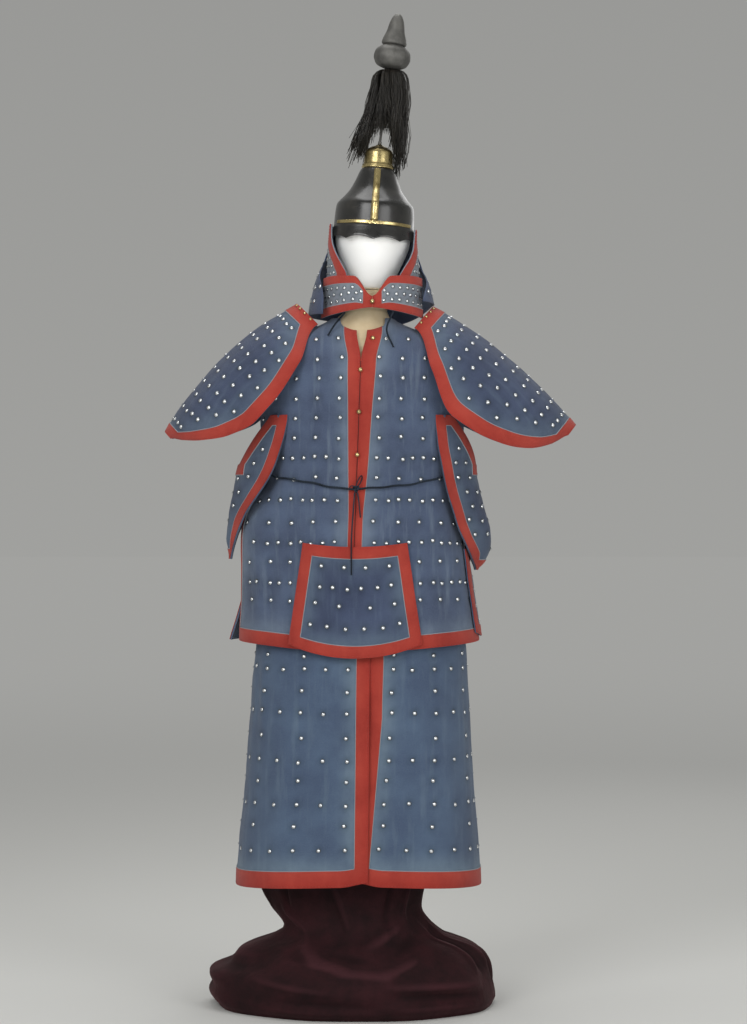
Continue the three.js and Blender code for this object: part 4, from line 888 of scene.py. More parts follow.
class Panel:
    """A cut piece of cloth: where its flat points lie in space, its grid, its facing and its studs."""

    def __init__(self, name, place, a, b, bordered, covers=None, facing=1, wall=WALL, studs=STUD):
        self.name, self.place, self.facing, self.wall, self.kind = name, place, facing, wall, studs
        self.a, self.b = np.broadcast_arrays(a, b)
        self.covers = np.ones(bordered.shape, bool) if covers is None else covers
        self.bordered = bordered & self.covers
        self.field = self.covers & ~bordered
        self.studs = np.zeros((0, 2))
        self.seed = sum(map(ord, name))

    def lay(self, a, b):
        """Points and the ways out of them, before creases."""
        return self.place(a, b), way_out(self.place, a, b, 1, 1) * self.facing

    def near_studs(self, a, b, reach):
        """1 at a stud, falling to 0 away from it."""
        nearest = np.full(np.shape(a), 1e9)
        for stud_a, stud_b in self.studs:
            nearest = np.minimum(nearest, (a - stud_a) ** 2 + (b - stud_b) ** 2)
        return np.exp(-nearest / reach**2)

    def rise(self, a, b):
        total = unevenness(a, b, self.seed)
        for a0, b0, a1, b1, width, rise in CREASES.get(self.name, ()):
            total = total + crease(a - a0, b - b0, (a1 - a0, b1 - b0), width, rise, CREASE_BOW)
        return total - self.kind["dimple"] * self.near_studs(a, b, self.kind["dimple_reach"])

    def spot(self, a, b, lift=0.0):
        at, way = self.lay(a, b)
        return at + way * (self.rise(a, b) + lift)[..., None], way

    def cell_centres(self):
        mean = lambda v: (v[:-1, :-1] + v[1:, :-1] + v[:-1, 1:] + v[1:, 1:]) / 4
        return mean(self.a), mean(self.b)

    def keep(self, points, margin):
        """Those of the points that lie on the field, clear of its edges."""
        tree = flat_tree(np.stack(self.cell_centres(), -1).reshape(-1, 2))
        field = self.field.ravel()
        offsets = ((0, 0), (margin, 0), (-margin, 0), (0, margin), (0, -margin))

        def inside(a, b):
            _, k, distance = tree.find((a, b, 0))
            return field[k] and distance < CELL

        kept = [p for p in points if all(inside(p[0] + u, p[1] + v) for u, v in offsets)]
        return np.array(kept).reshape(-1, 2)

    def stud(self, points, spec):
        """Studs at those of the points that lie clear of the field's edges."""
        self.studs = self.keep(scattered(points, spec["loose"]), spec["clear"])

    def lattice(self, spec):
        """An even lattice of points over the panel's flat box."""
        spans = ((self.b, spec["start"][1], spec["along"], 0), (self.a, spec["start"][0], spec["across"], 1))
        rows, columns = (
            range(math.floor((flat.min() - first) / pitch) - more,
                  math.ceil((flat.max() - first) / pitch) + 1)
            for flat, first, pitch, more in spans
        )
        (a, b), across = spec["start"], spec["across"]
        shift = spec["stagger"] * across
        return [(a + j * across + shift * (i % 2), b + i * spec["along"]) for i in rows for j in columns]

    def edges(self, outer):
        """Lines of grid points along the facing: its inner side, or its outer side."""
        rows, columns = self.bordered.shape
        wide = np.zeros((rows + 2, columns + 2), int)
        wide[1:-1, 1:-1] = np.where(self.bordered, 1, np.where(self.field, 2, 0))
        other = 0 if outer else 2
        pairs = []
        for i in range(rows + 1):
            for j in range(columns + 1):
                if j < columns and {wide[i, j + 1], wide[i + 1, j + 1]} == {1, other}:
                    pairs.append(((i, j), (i, j + 1)))
                if i < rows and {wide[i + 1, j], wide[i + 1, j + 1]} == {1, other}:
                    pairs.append(((i, j), (i + 1, j)))
        return chains(pairs)

    def beside(self, line, inset):
        """A grid line moved on to the facing by an inset, in flat points."""
        mid_a, mid_b = self.cell_centres()
        moved = []
        for i, j in line:
            near = [(r, c) for r in (i - 1, i) for c in (j - 1, j)
                    if 0 <= r < mid_a.shape[0] and 0 <= c < mid_a.shape[1] and self.bordered[r, c]]
            here = np.array([self.a[i, j], self.b[i, j]])
            way = np.mean([(mid_a[cell], mid_b[cell]) for cell in near], 0) - here
            moved.append(here + way / max(np.linalg.norm(way), 1e-6) * inset)
        return np.array(moved)

    def fade(self):
        """Paler cloth by the facing and the edges."""
        tree = flat_tree([(self.a[i, j], self.b[i, j]) for line in self.edges(False) for i, j in line])
        away = np.array([tree.find((a, b, 0))[2] for a, b in zip(self.a.ravel(), self.b.ravel())])
        return np.exp(-((away / FADE_REACH) ** 2))

    def grid(self, name, cells, lift, material, replaces):
        """The picked cells of the panel as a surface that far above it."""
        at, _ = self.spot(self.a, self.b, lift)
        columns = self.a.shape[1]
        faces = [(i * columns + j, i * columns + j + 1, (i + 1) * columns + j + 1, (i + 1) * columns + j)
                 for i, j in zip(*np.nonzero(cells))]
        if self.facing * (self.a[0, -1] - self.a[0, 0]) < 0:
            faces = [face[::-1] for face in faces]
        used = np.unique(np.array(faces))
        renamed = np.zeros(self.a.size, int)
        renamed[used] = np.arange(len(used))
        flat = np.stack([self.a, self.b], -1).reshape(-1, 2)[used]
        stain = self.near_studs(self.a, self.b, self.kind["stain_reach"]).ravel()[used]
        marks = {"fade": self.fade()[used], "stain": stain}
        points, faces = at.reshape(-1, 3)[used], renamed[np.array(faces)]
        return make(name, points, faces, [material], replaces=replaces, maps=flat, marks=marks)

    def area(self):
        """Flat area in square metres."""
        at = self.place(self.a, self.b) * MM
        crossing = np.cross(at[1:, 1:] - at[:-1, :-1], at[1:, :-1] - at[:-1, 1:])
        return float((np.linalg.norm(crossing, axis=-1) / 2 * self.covers).sum())

    def cut(self):
        """Flat width and length in metres: the panel's longest row and longest column."""
        at = self.place(self.a, self.b) * MM
        return tuple(float(np.linalg.norm(np.diff(at, axis=k), axis=-1).sum(k).max()) for k in (1, 0))


def chains(pairs):
    """Edges of grid points joined into lines."""
    links = {}
    for p, q in pairs:
        links.setdefault(p, []).append(q)
        links.setdefault(q, []).append(p)
    lines = []
    while links:
        start = next((p for p in links if len(links[p]) % 2), next(iter(links)))
        line = [start]
        while links.get(line[-1]):
            after = links[line[-1]].pop()
            links[after].remove(line[-1])
            line.append(after)
        links = {p: near for p, near in links.items() if near}
        lines.append(line)
    return lines


def resampled(points, pitch):
    """Even places along a line of flat points, with the way along it at each."""
    lengths = np.concatenate([[0], np.cumsum(np.linalg.norm(np.diff(points, axis=0), axis=1))])
    at = np.arange(pitch / 2, lengths[-1], pitch)
    place = lambda where: np.stack([np.interp(where, lengths, points[:, k]) for k in range(2)], -1)
    return place(at), unit(place(at + 0.5) - place(at - 0.5) + 1e-9)


STITCH_FACES = ((0, 2, 4), (2, 1, 4), (1, 3, 4), (3, 0, 4), (0, 3, 2), (1, 2, 3))


def piping(panel, line):
    """A thin cord along a line of grid points."""
    edge = np.array([(panel.a[i, j], panel.b[i, j]) for i, j in line])
    at, way = panel.spot(edge[:, 0], edge[:, 1], PIPING_CORD["radius"] * PIPING_CORD["sit"])
    section = circle(PIPING_CORD["radius"], PIPING_CORD["sides"])
    if line[0] == line[-1]:
        return sweep(at[:-1], way[:-1], section, True)
    return sweep(at, way, section)


def stitches(panel, flat):
    """Small pointed bodies along a line of flat points."""
    middles, ways = resampled(flat, STITCH["pitch"])
    ends = ways * STITCH["half"]
    aside = np.stack([-ways[:, 1], ways[:, 0]], -1) * STITCH["wide"]
    top = FACING_LIFT + FACING_WALL
    base = [middles - ends, middles + ends, middles + aside, middles - aside]
    corners = [(corner, top - STITCH["sunk"]) for corner in base] + [(middles, top + STITCH["high"])]
    return np.stack([panel.spot(at[:, 0], at[:, 1], lift)[0] for at, lift in corners], 1)


def sewing(panel):
    """Piping along the facing's inner side and rows of stitches on the facing."""
    soup = Soup()
    for outer in (False, True):
        for line in panel.edges(outer):
            if not outer:
                soup.add(*piping(panel, line), 0)
            for body in stitches(panel, panel.beside(line, STITCH["inset"])):
                soup.add(body, STITCH_FACES, 1)
    return soup.build(f"{panel.name}_sewing", PIPING, RED_THREAD)


def stud_body(kind):
    """One domed stud on its dark rim, as (aside, along, out) points, faces and materials."""
    radius, height, seat = kind["radius"], kind["height"], STUD_DOME["seat"]
    turns = np.linspace(STUD_DOME["from"], math.pi / 2, STUD_DOME["steps"])[:-1]
    rim = [(kind["washer"], STUD_DOME["rim"]), (radius * STUD_DOME["flange"], STUD_DOME["shoulder"])]
    dome = [(radius * math.cos(t), seat + (height - seat) * math.sin(t)) for t in turns]
    points, faces = lathe([*rim, *dome, (0, height)], STUD_SIDES)
    return points, faces, [1] * STUD_SIDES + [0] * (len(faces) - STUD_SIDES)


def studs(panel):
    local, faces, materials = stud_body(panel.kind)
    a, b = panel.studs.T
    at, way = panel.spot(a, b, STUD_DOME["lift"])
    beside, _ = panel.spot(a + STUD_DOME["probe"], b, STUD_DOME["lift"])
    aside = unit(beside - at)
    axes = np.stack([aside, np.cross(way, aside), way], 1)
    points = at[:, None] + np.einsum("vk,nkd->nvd", local, axes)
    every = [tuple(k + n * len(local) for k in face) for n in range(len(at)) for face in faces]
    return make(f"{panel.name}_studs", points.reshape(-1, 3), every, [TIN, VERDIGRIS], materials * len(at))


def dress(panel, material, extra=()):
    """A panel's cloth, facing, sewing and studs, in place of its solids."""
    name = panel.name
    cloth = panel.grid(f"{name}_cloth", panel.covers, 0, material, [name])
    thicken(cloth, panel.wall, -1, CLOTH_EDGE)
    border = panel.grid(f"{name}_facing", panel.bordered, FACING_LIFT, RED, [f"{name}_border"])
    thicken(border, FACING_WALL, 1, FACING_EDGE)
    pieces = [border, sewing(panel), studs(panel), *extra]
    panel.cut()
    panel.area()


# Jacket
def sideness(share):
    return smooth(np.minimum(np.abs(share), 0.5) * 2)


def front_lean(z):
    return FRONT_LEAN["run"] * np.clip((NECK_FRONT_Z - z) / (NECK_FRONT_Z - FRONT_LEAN["low"]), 0, 1)


def vent(z):
    return NECK_VENT["half"] * smooth((z - NECK_VENT["low"]) / (NECK_FRONT_Z - NECK_VENT["low"]))


def jacket_z(row, share):
    hem = lerp(HEM_FRONT_Z, HEM_SIDE_Z, sideness(share))
    neck = lerp(NECK_FRONT_Z, NECK_SIDE_Z, smooth(np.abs(share) / NECK_RISE))
    return lerp(hem, neck, row)


def flare(z, share, edge):
    """How far the jacket stands off its form towards an edge beside the slit."""
    return read(FLARE, "z", z, edge) * smooth((share - FLARE_FROM[edge]) / FLARE_FROM["run"])


def on_torso(edge, sign):
    """Where a jacket panel's flat points lie, with its flaring edge."""

    def place(a, z):
        share = a / half_girth(TORSO, z)
        return around(TORSO, z, share, flare(z, sign * share, edge) if edge else 0)

    return place


JACKET_RISE = NECK_SIDE_Z - HEM_SIDE_Z
JACKET_LEVELS = (0, BORDER / JACKET_RISE, 1)


def jacket_rows():
    places, owners = refine((FACING_CELLS, cells_for(JACKET_RISE)))
    return np.interp(places, range(3), JACKET_LEVELS)[:, None], owners[:, None]


def jacket_front(side, sign):
    rows, row_of = jacket_rows()
    places, column_of = refine((FACING_CELLS, cells_for(FIELD["front"]), FACING_CELLS))
    z = jacket_z(rows, np.interp(places, range(4), FRONT_COLUMNS) / 2)
    start = sign * front_lean(z) + SEAM / 2 + vent(z)
    end = half_girth(TORSO, z) / 2 - SEAM / 2 - read(ARMHOLE, "z", z, "inset")
    arc = between((start, start + read(FRONT_FACING, "z", z, side), end - BORDER, end), places)
    in_slit = z[1:, -1:] < SLIT_TOP_Z
    bordered = (row_of == 0) | (column_of == 0) | ((column_of == 2) & in_slit)
    place = on_torso("front" if sign < 0 else None, sign)
    panel = Panel(f"jacket_front_{side}", place, sign * arc, z, bordered)
    points = []
    for height, pitch in STUD_ROWS:
        first = sign * front_lean(height) + vent(height) + BORDER + JACKET_STUDS["first"]
        points += [(sign * (first + k * pitch), height) for k in range(JACKET_STUDS["front"])]
    panel.stud(points, JACKET_STUDS)
    return panel


def jacket_back():
    rows, row_of = jacket_rows()
    places, column_of = refine((FACING_CELLS, cells_for(FIELD["back"]), FACING_CELLS))
    z = jacket_z(rows, np.full(len(places), 0.5))
    half = half_girth(TORSO, z)
    inset = SEAM / 2 + read(ARMHOLE, "z", z, "inset")
    start, end = half / 2 + inset, 1.5 * half - inset
    arc = between((start, start + BORDER, end - BORDER, end), places)
    in_slit = z[1:, -1:] < SLIT_TOP_Z
    panel = Panel("jacket_back", on_torso("back", 1), arc, z, (row_of == 0) | ((column_of != 1) & in_slit))
    points = []
    for height, pitch in STUD_ROWS:
        middle, count = float(half_girth(TORSO, height)), JACKET_STUDS["back"]
        points += [(middle + (k + 0.5) * pitch, height) for k in range(-count, count)]
    panel.stud(points, JACKET_STUDS)
    return panel


def jacket():
    for side, sign in SIDES:
        dress(jacket_front(side, sign), JACKET_BLUE)
    dress(jacket_back(), JACKET_BLUE)


def closing():
    """A dark cord where the two fronts meet: painted shade for the shadow line in the gap between them."""
    z = np.linspace(HEM_FRONT_Z + GAP_SHADE_CORD["above_hem"], NECK_VENT["low"], GAP_SHADE_CORD["points"])
    share = front_lean(z) / half_girth(TORSO, z)
    path = around(TORSO, z, share, FACING_LIFT + FACING_WALL + GAP_SHADE_CORD["lift"])
    body = sweep(path, (1, 0, 0), circle(GAP_SHADE_CORD["radius"], GAP_SHADE_CORD["sides"]))
    make("jacket_front_binding", *body, [GAP_SHADE_COTTON])


def stood(points, at, way):
    """Points of a small body, turned so that its z runs along the way out."""
    turn = np.array(Vector(way).to_track_quat("Z", "Y").to_matrix())
    return points @ turn.T + np.asarray(at)


def button(name, at, way):
    """A brass ball on a flat collar."""
    r, collar = BUTTON["radius"], BUTTON["radius"] * BUTTON["collar"]
    turns = np.linspace(BUTTON["from"], math.pi, BUTTON["steps"])[:-1]
    ball = [(r * math.sin(t), -r * math.cos(t)) for t in turns]
    outline = [(0, -r), (collar, -r), (collar, -r * BUTTON["collar_top"]), *ball, (0, r)]
    turned(f"{name}_ball", name, BRASS, lambda points: stood(points, at, way), outline, BUTTON["sides"])


def buttons():
    for k, (z, sink) in enumerate(BUTTONS):
        gap = float(vent(z))
        aside = gap + BORDER / 2 if gap > 1 else 0
        share = (float(front_lean(z)) + aside) / float(half_girth(TORSO, z))
        out = 2 * SEAM + TRIM + BUTTON["radius"] - sink
        button(f"jacket_button_{k + 1}", around(TORSO, z, share, out), (share * 2, -1, 0))


# Skirt
def skirt_start(sign, z):
    tuck = np.clip((SKIRT_STUDS_TOP_Z - z) / (SKIRT_STUDS_TOP_Z - SKIRT_HEM_Z), 0, 1)
    slide = SKIRT_TUCK["arc"] * np.clip((tuck - SKIRT_TUCK["from"]) / (1 - SKIRT_TUCK["from"]), 0, 1)
    return tuck, sign * SKIRT_PARTING + SEAM - (slide if sign > 0 else 0)


def skirt_hang(z, share, arc):
    """A level of the skirt as it hangs: lower at the sides and back, lifted at the front opening."""
    above = z - SKIRT_HEM_Z
    sag = SKIRT_HANG["side"] * sideness(share) * (1 - smooth(above / SKIRT_HANG["side_fade"]))
    near_edge = 1 - smooth(arc / SKIRT_HANG["lift_arc"])
    return z - sag + SKIRT_HANG["lift"] * near_edge * (1 - smooth(above / SKIRT_HANG["lift_fade"]))


def skirt_panel(side, sign):
    def place(a, z):
        tuck, start = skirt_start(sign, z)
        arc = sign * a - start
        under = SKIRT_TUCK["depth"] * smooth(tuck / SKIRT_TUCK["from"])
        under = under * (1 - smooth(arc / SKIRT_TUCK["fade"]))
        share = a / half_girth(SKIRT, z)
        return around(SKIRT, skirt_hang(z, share, arc), share, -under if sign > 0 else 0)

    levels = (SKIRT_HEM_Z, SKIRT_HEM_Z + SKIRT_HEM_BORDER, SKIRT_TOP_Z - BORDER, SKIRT_TOP_Z)
    row_places, row_of = refine((SKIRT_HEM_CELLS, cells_for(levels[2] - levels[1]), SKIRT_TOP_CELLS))
    z = np.interp(row_places, range(4), levels)[:, None]
    places, column_of = refine((FACING_CELLS, cells_for(FIELD["skirt"]), FACING_CELLS))
    start, end = skirt_start(sign, z)[1], half_girth(SKIRT, z) - SEAM / 2
    arc = between((start, start + BORDER, end - BORDER, end), places)
    row_of, column_of = np.broadcast_arrays(row_of[:, None], column_of)
    panel = Panel(f"skirt_{side}", place, sign * arc, z, (row_of == 0) | (column_of != 1))
    panel.stud(skirt_studs(sign), SKIRT_STUDS)
    inside = -WALL - SEAM - WAISTBAND_GAP
    band = panel.grid(f"skirt_{side}_band", row_of == 2, inside, CALICO, [f"skirt_{side}_waistband"])
    thicken(band, WAISTBAND, -1, BAND_EDGE)
    dress(panel, SKIRT_BLUE, [band])


def skirt_studs(sign):
    """Rows of studs, full and with every other one left out by turns, wider apart towards the hem."""
    points = []
    for k, height in enumerate(SKIRT_ROWS):
        first = float(skirt_start(sign, height)[1]) + BORDER + SKIRT_STUDS["first"]
        pitches = (SKIRT_STUDS["bottom"], SKIRT_STUDS["top"])
        pitch = np.interp(height, (SKIRT_ROWS[-1], SKIRT_ROWS[0]), pitches)
        picked = range(0, SKIRT_STUDS["count"], 1 if k % 2 else 2)
        points += [(sign * (first + n * pitch), height) for n in picked]
    return points


# Cords
def rope(path, way):
    """Two twisted strands along a path."""
    soup = Soup()
    steps = np.linalg.norm(np.diff(path, axis=0), axis=1)
    turns = np.concatenate([[0], np.cumsum(steps)]) / ROPE["lay"] * 2 * math.pi
    along = unit(np.gradient(path, axis=0))
    side = unit(np.cross(along, way))
    out = np.cross(side, along)
    section = circle(ROPE["radius"] * ROPE["strand"], ROPE["sides"])
    for half_turn in (0, math.pi):
        swing = np.cos(turns + half_turn)[:, None] * side + np.sin(turns + half_turn)[:, None] * out
        soup.add(*sweep(path + swing * ROPE["radius"] * ROPE["swing"], way, section))
    return soup


def knot_path(at):
    """A small overhand knot."""
    t = np.linspace(0, 2 * math.pi, KNOT["points"] + 1)[:-1]
    width, height, depth = (KNOT[key] - KNOT["inset"] for key in ("width", "height", "depth"))
    x = (np.sin(t) + 2 * np.sin(2 * t)) / 3 * width
    z = (np.cos(t) - 2 * np.cos(2 * t)) / 3 * height
    return np.stack([x, -np.sin(3 * t) * depth, z], -1) + at


def waist_cord():
    half = float(half_girth(TORSO, CORD_FRONT_Z))
    knot_share = float(front_lean(CORD_FRONT_Z)) / half
    gap = (KNOT["width"] - KNOT["covers"]) / half
    share = np.linspace(knot_share + gap, knot_share + 2 - gap, CORD_POINTS)
    turn = np.where(share > 1, share - 2, share)
    z = lerp(CORD_FRONT_Z, CORD_SIDE_Z, sideness(turn))
    for rise, pace in CORD_WAVES:
        z = z + rise * np.sin(turn * pace)
    over_facing = lerp(CORD_LIE["facing"], 0, smooth(np.abs(turn) / CORD_LIE["run"]))
    path = around(TORSO, z, turn, CORD_DIAMETER / 2 + CORD_LIE["off"] + over_facing)
    rope(path, (0, 0, 1)).build("waist_cord_rope", STRING, replaces=["waist_cord"])
    bow(around(TORSO, CORD_FRONT_Z, knot_share, KNOT["depth"] + TRIM + 3 * SEAM))
    for side, sign in SIDES:
        points = [around(TORSO, CORD_FRONT_Z - drop, knot_share + sign * apart / half, out)
                  for drop, out, apart in CORD_ENDS[side]]
        free_cord(f"waist_cord_end_{side}", points, CORD_END_DIAMETER)


def bow(at):
    """The knot in front with its small loops."""
    soup = Soup()
    soup.add(*sweep(knot_path(at), TIED_WAY, circle(KNOT["strand"], KNOT["sides"]), True))
    for loop in BOW_LOOPS:
        line = curve_through([at + np.array(point) for point in loop], BOW["points"])
        soup.add(*sweep(line, TIED_WAY, circle(BOW["strand"], BOW["sides"])))
    soup.build("waist_cord_tied", STRING, replaces=["waist_cord_knot"])


def free_cord(node, points, diameter):
    """A limp cord that hangs from its first point, as one open curve."""
    line = curve_through(points, FREE_CORD_POINTS) * MM
    curve = bpy.data.curves.new(f"{node}_line", "CURVE")
    curve.dimensions = "3D"
    curve.bevel_depth = diameter / 2 * MM
    curve.bevel_resolution = 3
    curve.use_fill_caps = True
    spline = curve.splines.new("POLY")
    spline.points.add(len(line) - 1)
    spline.points.foreach_set("co", np.hstack([line, np.ones((len(line), 1))]).ravel())
    curve.materials.append(STRING)
    piece = bpy.data.objects.new(f"{node}_line", curve)
    bpy.context.scene.collection.objects.link(piece)
    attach(piece, "root")
    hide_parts(node)
    tuple(line[0])


# Flaps
def flap(name, cut, stud_rows=None):
    height = cut["top"] - cut["bottom"]

    def half_at(b):
        return lerp(cut["half_bottom"], cut["half_top"], (b - cut["bottom"]) / height)

    def place(a, b):
        level = (b - cut["bottom"]) / height
        z = b - cut["sag"] * (1 - (a / half_at(b)) ** 2) * (1 - FLAP_LEVELLING * level)
        half = half_girth(TORSO, z)
        middle = 0.5 if cut["middle"] is None else cut["middle"] / half
        return around(TORSO, z, middle + a / half, FLAP_STANDOFF + THIN_WALL)

    levels = (cut["bottom"], cut["bottom"] + FLAP_BORDER, cut["top"] - FLAP_BORDER, cut["top"])
    row_places, row_of = refine((FACING_CELLS, cells_for(height), FACING_CELLS))
    b = np.interp(row_places, range(4), levels)[:, None]
    places, column_of = refine((FACING_CELLS, cells_for(2 * cut["half_bottom"]), FACING_CELLS))
    half = half_at(b)
    a = between((-half, FLAP_BORDER - half, half - FLAP_BORDER, half), places)
    panel = Panel(name, place, a, b, (row_of[:, None] != 1) | (column_of != 1), wall=THIN_WALL)
    if stud_rows:
        points = [(sign * offset, cut["bottom"] + level * height)
                  for level, offsets in stud_rows for offset in offsets for sign in (-1, 1)]
        panel.studs = scattered(points, FRONT_FLAP_LOOSE)
    else:
        panel.stud(panel.lattice(SIDE_FLAP_STUDS), SIDE_FLAP_STUDS)
    dress(panel, GUARD_BLUE)


# Guards
def armpit_guard(side, sign):
    rows = ARMPIT[side]
    low, high = rows["z"][0], rows["z"][-1]
    sill = ARMPIT_NOTCH["z"] - ARMPIT_BORDER

    def place(a, z):
        share = a / half_girth(TORSO, z)
        edge = read(rows, "z", z, "edge")
        belly = smooth(1 - np.abs(share) / (0.5 - edge))
        out = lerp(read(rows, "z", z, "out"), read(rows, "z", z, "side"), belly)
        return around(TORSO, z, sign * (0.5 + share), out)

    levels = (low, low + ARMPIT_BORDER, sill, ARMPIT_NOTCH["z"], high - ARMPIT_BORDER, high)
    row_places, row_of = refine(
        (FACING_CELLS, cells_for(sill - low), FACING_CELLS, cells_for(FIELD["horn"]), FACING_CELLS),
    )
    z = np.interp(row_places, range(6), levels)[:, None]
    half = half_girth(TORSO, z)
    edge = read(rows, "z", z, "edge")
    facing = np.minimum(ARMPIT_BORDER / half, (0.5 - edge) * ARMPIT_BORDER_MOST)
    rise = np.maximum((z - ARMPIT_NOTCH["z"]) / (high - ARMPIT_NOTCH["z"]), 0)
    notch = lerp(ARMPIT_NOTCH["low"], ARMPIT_NOTCH["high"], rise)
    third = (0.5 - edge - facing) / 3
    settled = smooth((sill - z) / ARMPIT_NOTCH["settle"])
    inner = (lerp(notch - facing, edge + facing + third, settled), lerp(notch, 0.5 - third, settled))
    front = [(line - 0.5) * half for line in (edge, edge + facing, *inner)]
    lines = [*front, np.zeros_like(z), *(-line for line in front[::-1])]
    places, column_of = refine(ARMPIT_COLUMNS)
    i, j = np.broadcast_arrays(row_of[:, None], column_of)
    covers = (i < 3) | ((j != 3) & (j != 4))
    outer = (i == 0) | (i == 4) | (j == 0) | (j == 7)
    notched = ((i >= 3) & ((j == 2) | (j == 5))) | ((i == 2) & (j > 1) & (j < 6))
    panel = Panel(f"armpit_guard_{side}", place, between(lines, places), z, outer | notched, covers, sign)
    panel.stud(panel.lattice(ARMPIT_STUDS), ARMPIT_STUDS)
    dress(panel, GUARD_BLUE)


def shoulder_guard(side, sign):
    neck, tip, bow = (CREST[side][key] for key in ("neck", "tip", "bow"))
    start = np.array([neck[0], 0, neck[1]])
    run = np.array([tip[0], 0, tip[1]]) - start
    length = float(np.linalg.norm(run))
    run = run / length
    down = np.array([sign * run[2], 0, -sign * run[0]])

    def sizes(b):
        fall, reach = (read(GUARD, "s", b / length, key) for key in (f"drop_{side}", "reach"))
        return fall, reach, GUARD_GIRTH * np.hypot(fall, reach)

    def place(a, b):
        a, b = np.broadcast_arrays(np.asarray(a, float), np.asarray(b, float))
        fall, reach, girth = sizes(b)
        s = b / length
        turn = 2 * a / girth * GUARD_TURN
        lifted = np.where(turn > 0, smooth((s - GUARD_BACK["from"]) / GUARD_BACK["run"]), 0)
        deep = fall * lerp(1, GUARD_BACK["drop"], lifted)
        sink = deep * (1 - np.cos(turn)) / (1 - math.cos(GUARD_TURN)) - bow * 4 * s * (1 - s)
        at = start + b[..., None] * run + sink[..., None] * down
        at[..., 1] = reach * np.sin(turn) / math.sin(GUARD_TURN)
        return at

    levels = (0, BORDER, length - GUARD_TIP_BORDER, length)
    row_places, row_of = refine((FACING_CELLS, cells_for(length), FACING_CELLS))
    b = np.interp(row_places, range(4), levels)[:, None]
    girth = sizes(b)[2]
    border = np.minimum(BORDER, girth * GUARD_BORDER_MOST)
    places, column_of = refine((FACING_CELLS, cells_for(FIELD["guard"]), FACING_CELLS))
    a = between((-girth / 2, border - girth / 2, girth / 2 - border, girth / 2), places)
    bordered = (row_of[:, None] != 1) | (column_of != 1)
    panel = Panel(f"shoulder_guard_{side}", place, a, b, bordered, facing=-sign)
    panel.stud(guard_lattice(length, lambda b: float(sizes(b)[2])), GUARD_STUDS)
    beads = guard_fastenings(panel, float(girth[0, 0]))
    dress(panel, GUARD_BLUE, [beads])


def guard_lattice(length, girth):
    """Staggered rows from the crest to both edges, a little wider apart near the crest."""
    points = []
    for i in range(int((length - GUARD_STUDS["first"]) / GUARD_STUDS["along"]) + 1):
        b = GUARD_STUDS["first"] + i * GUARD_STUDS["along"]
        shares = (np.arange(0, GUARD_STUDS["rows"]) + 0.5 * (i % 2)) / GUARD_STUDS["rows"]
        offsets = shares ** GUARD_STUDS["lean"] * girth(b) / 2
        points += [(sign * a, b) for a in offsets for sign in ((-1, 1) if a > 0 else (1,))]
    return points


def guard_fastenings(panel, girth):
    """Small brass beads along the neck edge, where the guard is tied to the jacket."""
    soup = Soup()
    points, faces = lathe(BEAD, BEADS["sides"])
    shares = np.array(BEADS["shares"])
    inset = np.full(len(shares), BEADS["inset"])
    for at, way in zip(*panel.spot(shares * girth, inset, FACING_LIFT + FACING_WALL - BEADS["sunk"])):
        soup.add(stood(points, at, way), faces)
    return soup.build(f"{panel.name}_fastenings", BRASS)


# Helmet
def bowl():
    top = BOWL[0][1]
    shell = rounded(BOWL[:1] + BOWL, BOWL_STEPS)[BOWL_STEPS:]
    outline = [(0, top), *map(tuple, shell), *BOWL_LINING, (0, top - BOWL_WALL)]
    shape = (TURNED_SIDES["bowl"], HELMET["depth_ratio"])
    turned("helmet_bowl_shell", "helmet_bowl", BLACK_LACQUER, in_helmet, outline, *shape)


def on_brow(share, z):
    return around(BROW, z, share)


def brow_plate(name, node, material, plate, low_edge):
    """A curved plate on the helmet's front."""
    u = np.linspace(-1, 1, BROW_COLUMNS)
    level = np.linspace(0, 1, plate["rows"] + 1)[:, None]
    z, share = np.broadcast_arrays(lerp(low_edge(u), plate["high"], level), u * plate["reach"])
    at = in_helmet(on_brow(share, z) + way_out(on_brow, share, z, *PROBE) * PLATE_LIFT)
    piece = make(name, at.reshape(-1, 3), net_faces(*z.shape), [material], replaces=[node])
    thicken(piece, plate["wall"], 1, PLATE_EDGE)


def visor():
    scallop = lambda u: VISOR["low"] + VISOR["depth"] * np.abs(np.sin(u * math.pi * VISOR["scallops"] / 2))
    level = lambda u: BROW_BAND["low"] + 0 * u
    brow_plate("helmet_visor_plate", "helmet_visor", BLACK_LACQUER, VISOR, scallop)
    brow_plate("helmet_brow_moulding", "helmet_brow_band", BRASS, BROW_BAND, level)


def ridge(name, facing):
    """A brass strip with a raised spine up the helmet."""
    on_bowl = (point for point in BOWL if RIDGE["low"] < point[1] < RIDGE["high"])
    spine = rounded([RIDGE["top"], *on_bowl, RIDGE["foot"]], RIDGE["steps"])
    y = spine[:, 0] * HELMET["depth_ratio"] + SEAM
    taper = lerp(RIDGE["taper"], 1, spine[:, 0] / BOWL[-1][0])
    aside, height = np.array(RIDGE_SECTION).T
    x = aside * RIDGE["half"] * taper[:, None]
    out = y[:, None] + height * RIDGE["height"]
    rings = np.stack([x, facing * out, np.broadcast_to(spine[:, 1:], x.shape)], -1)
    points = in_helmet(rings.reshape(-1, 3))
    outward(make(f"{name}_strip", points, tube_faces(*x.shape), [BRASS], replaces=[name]))


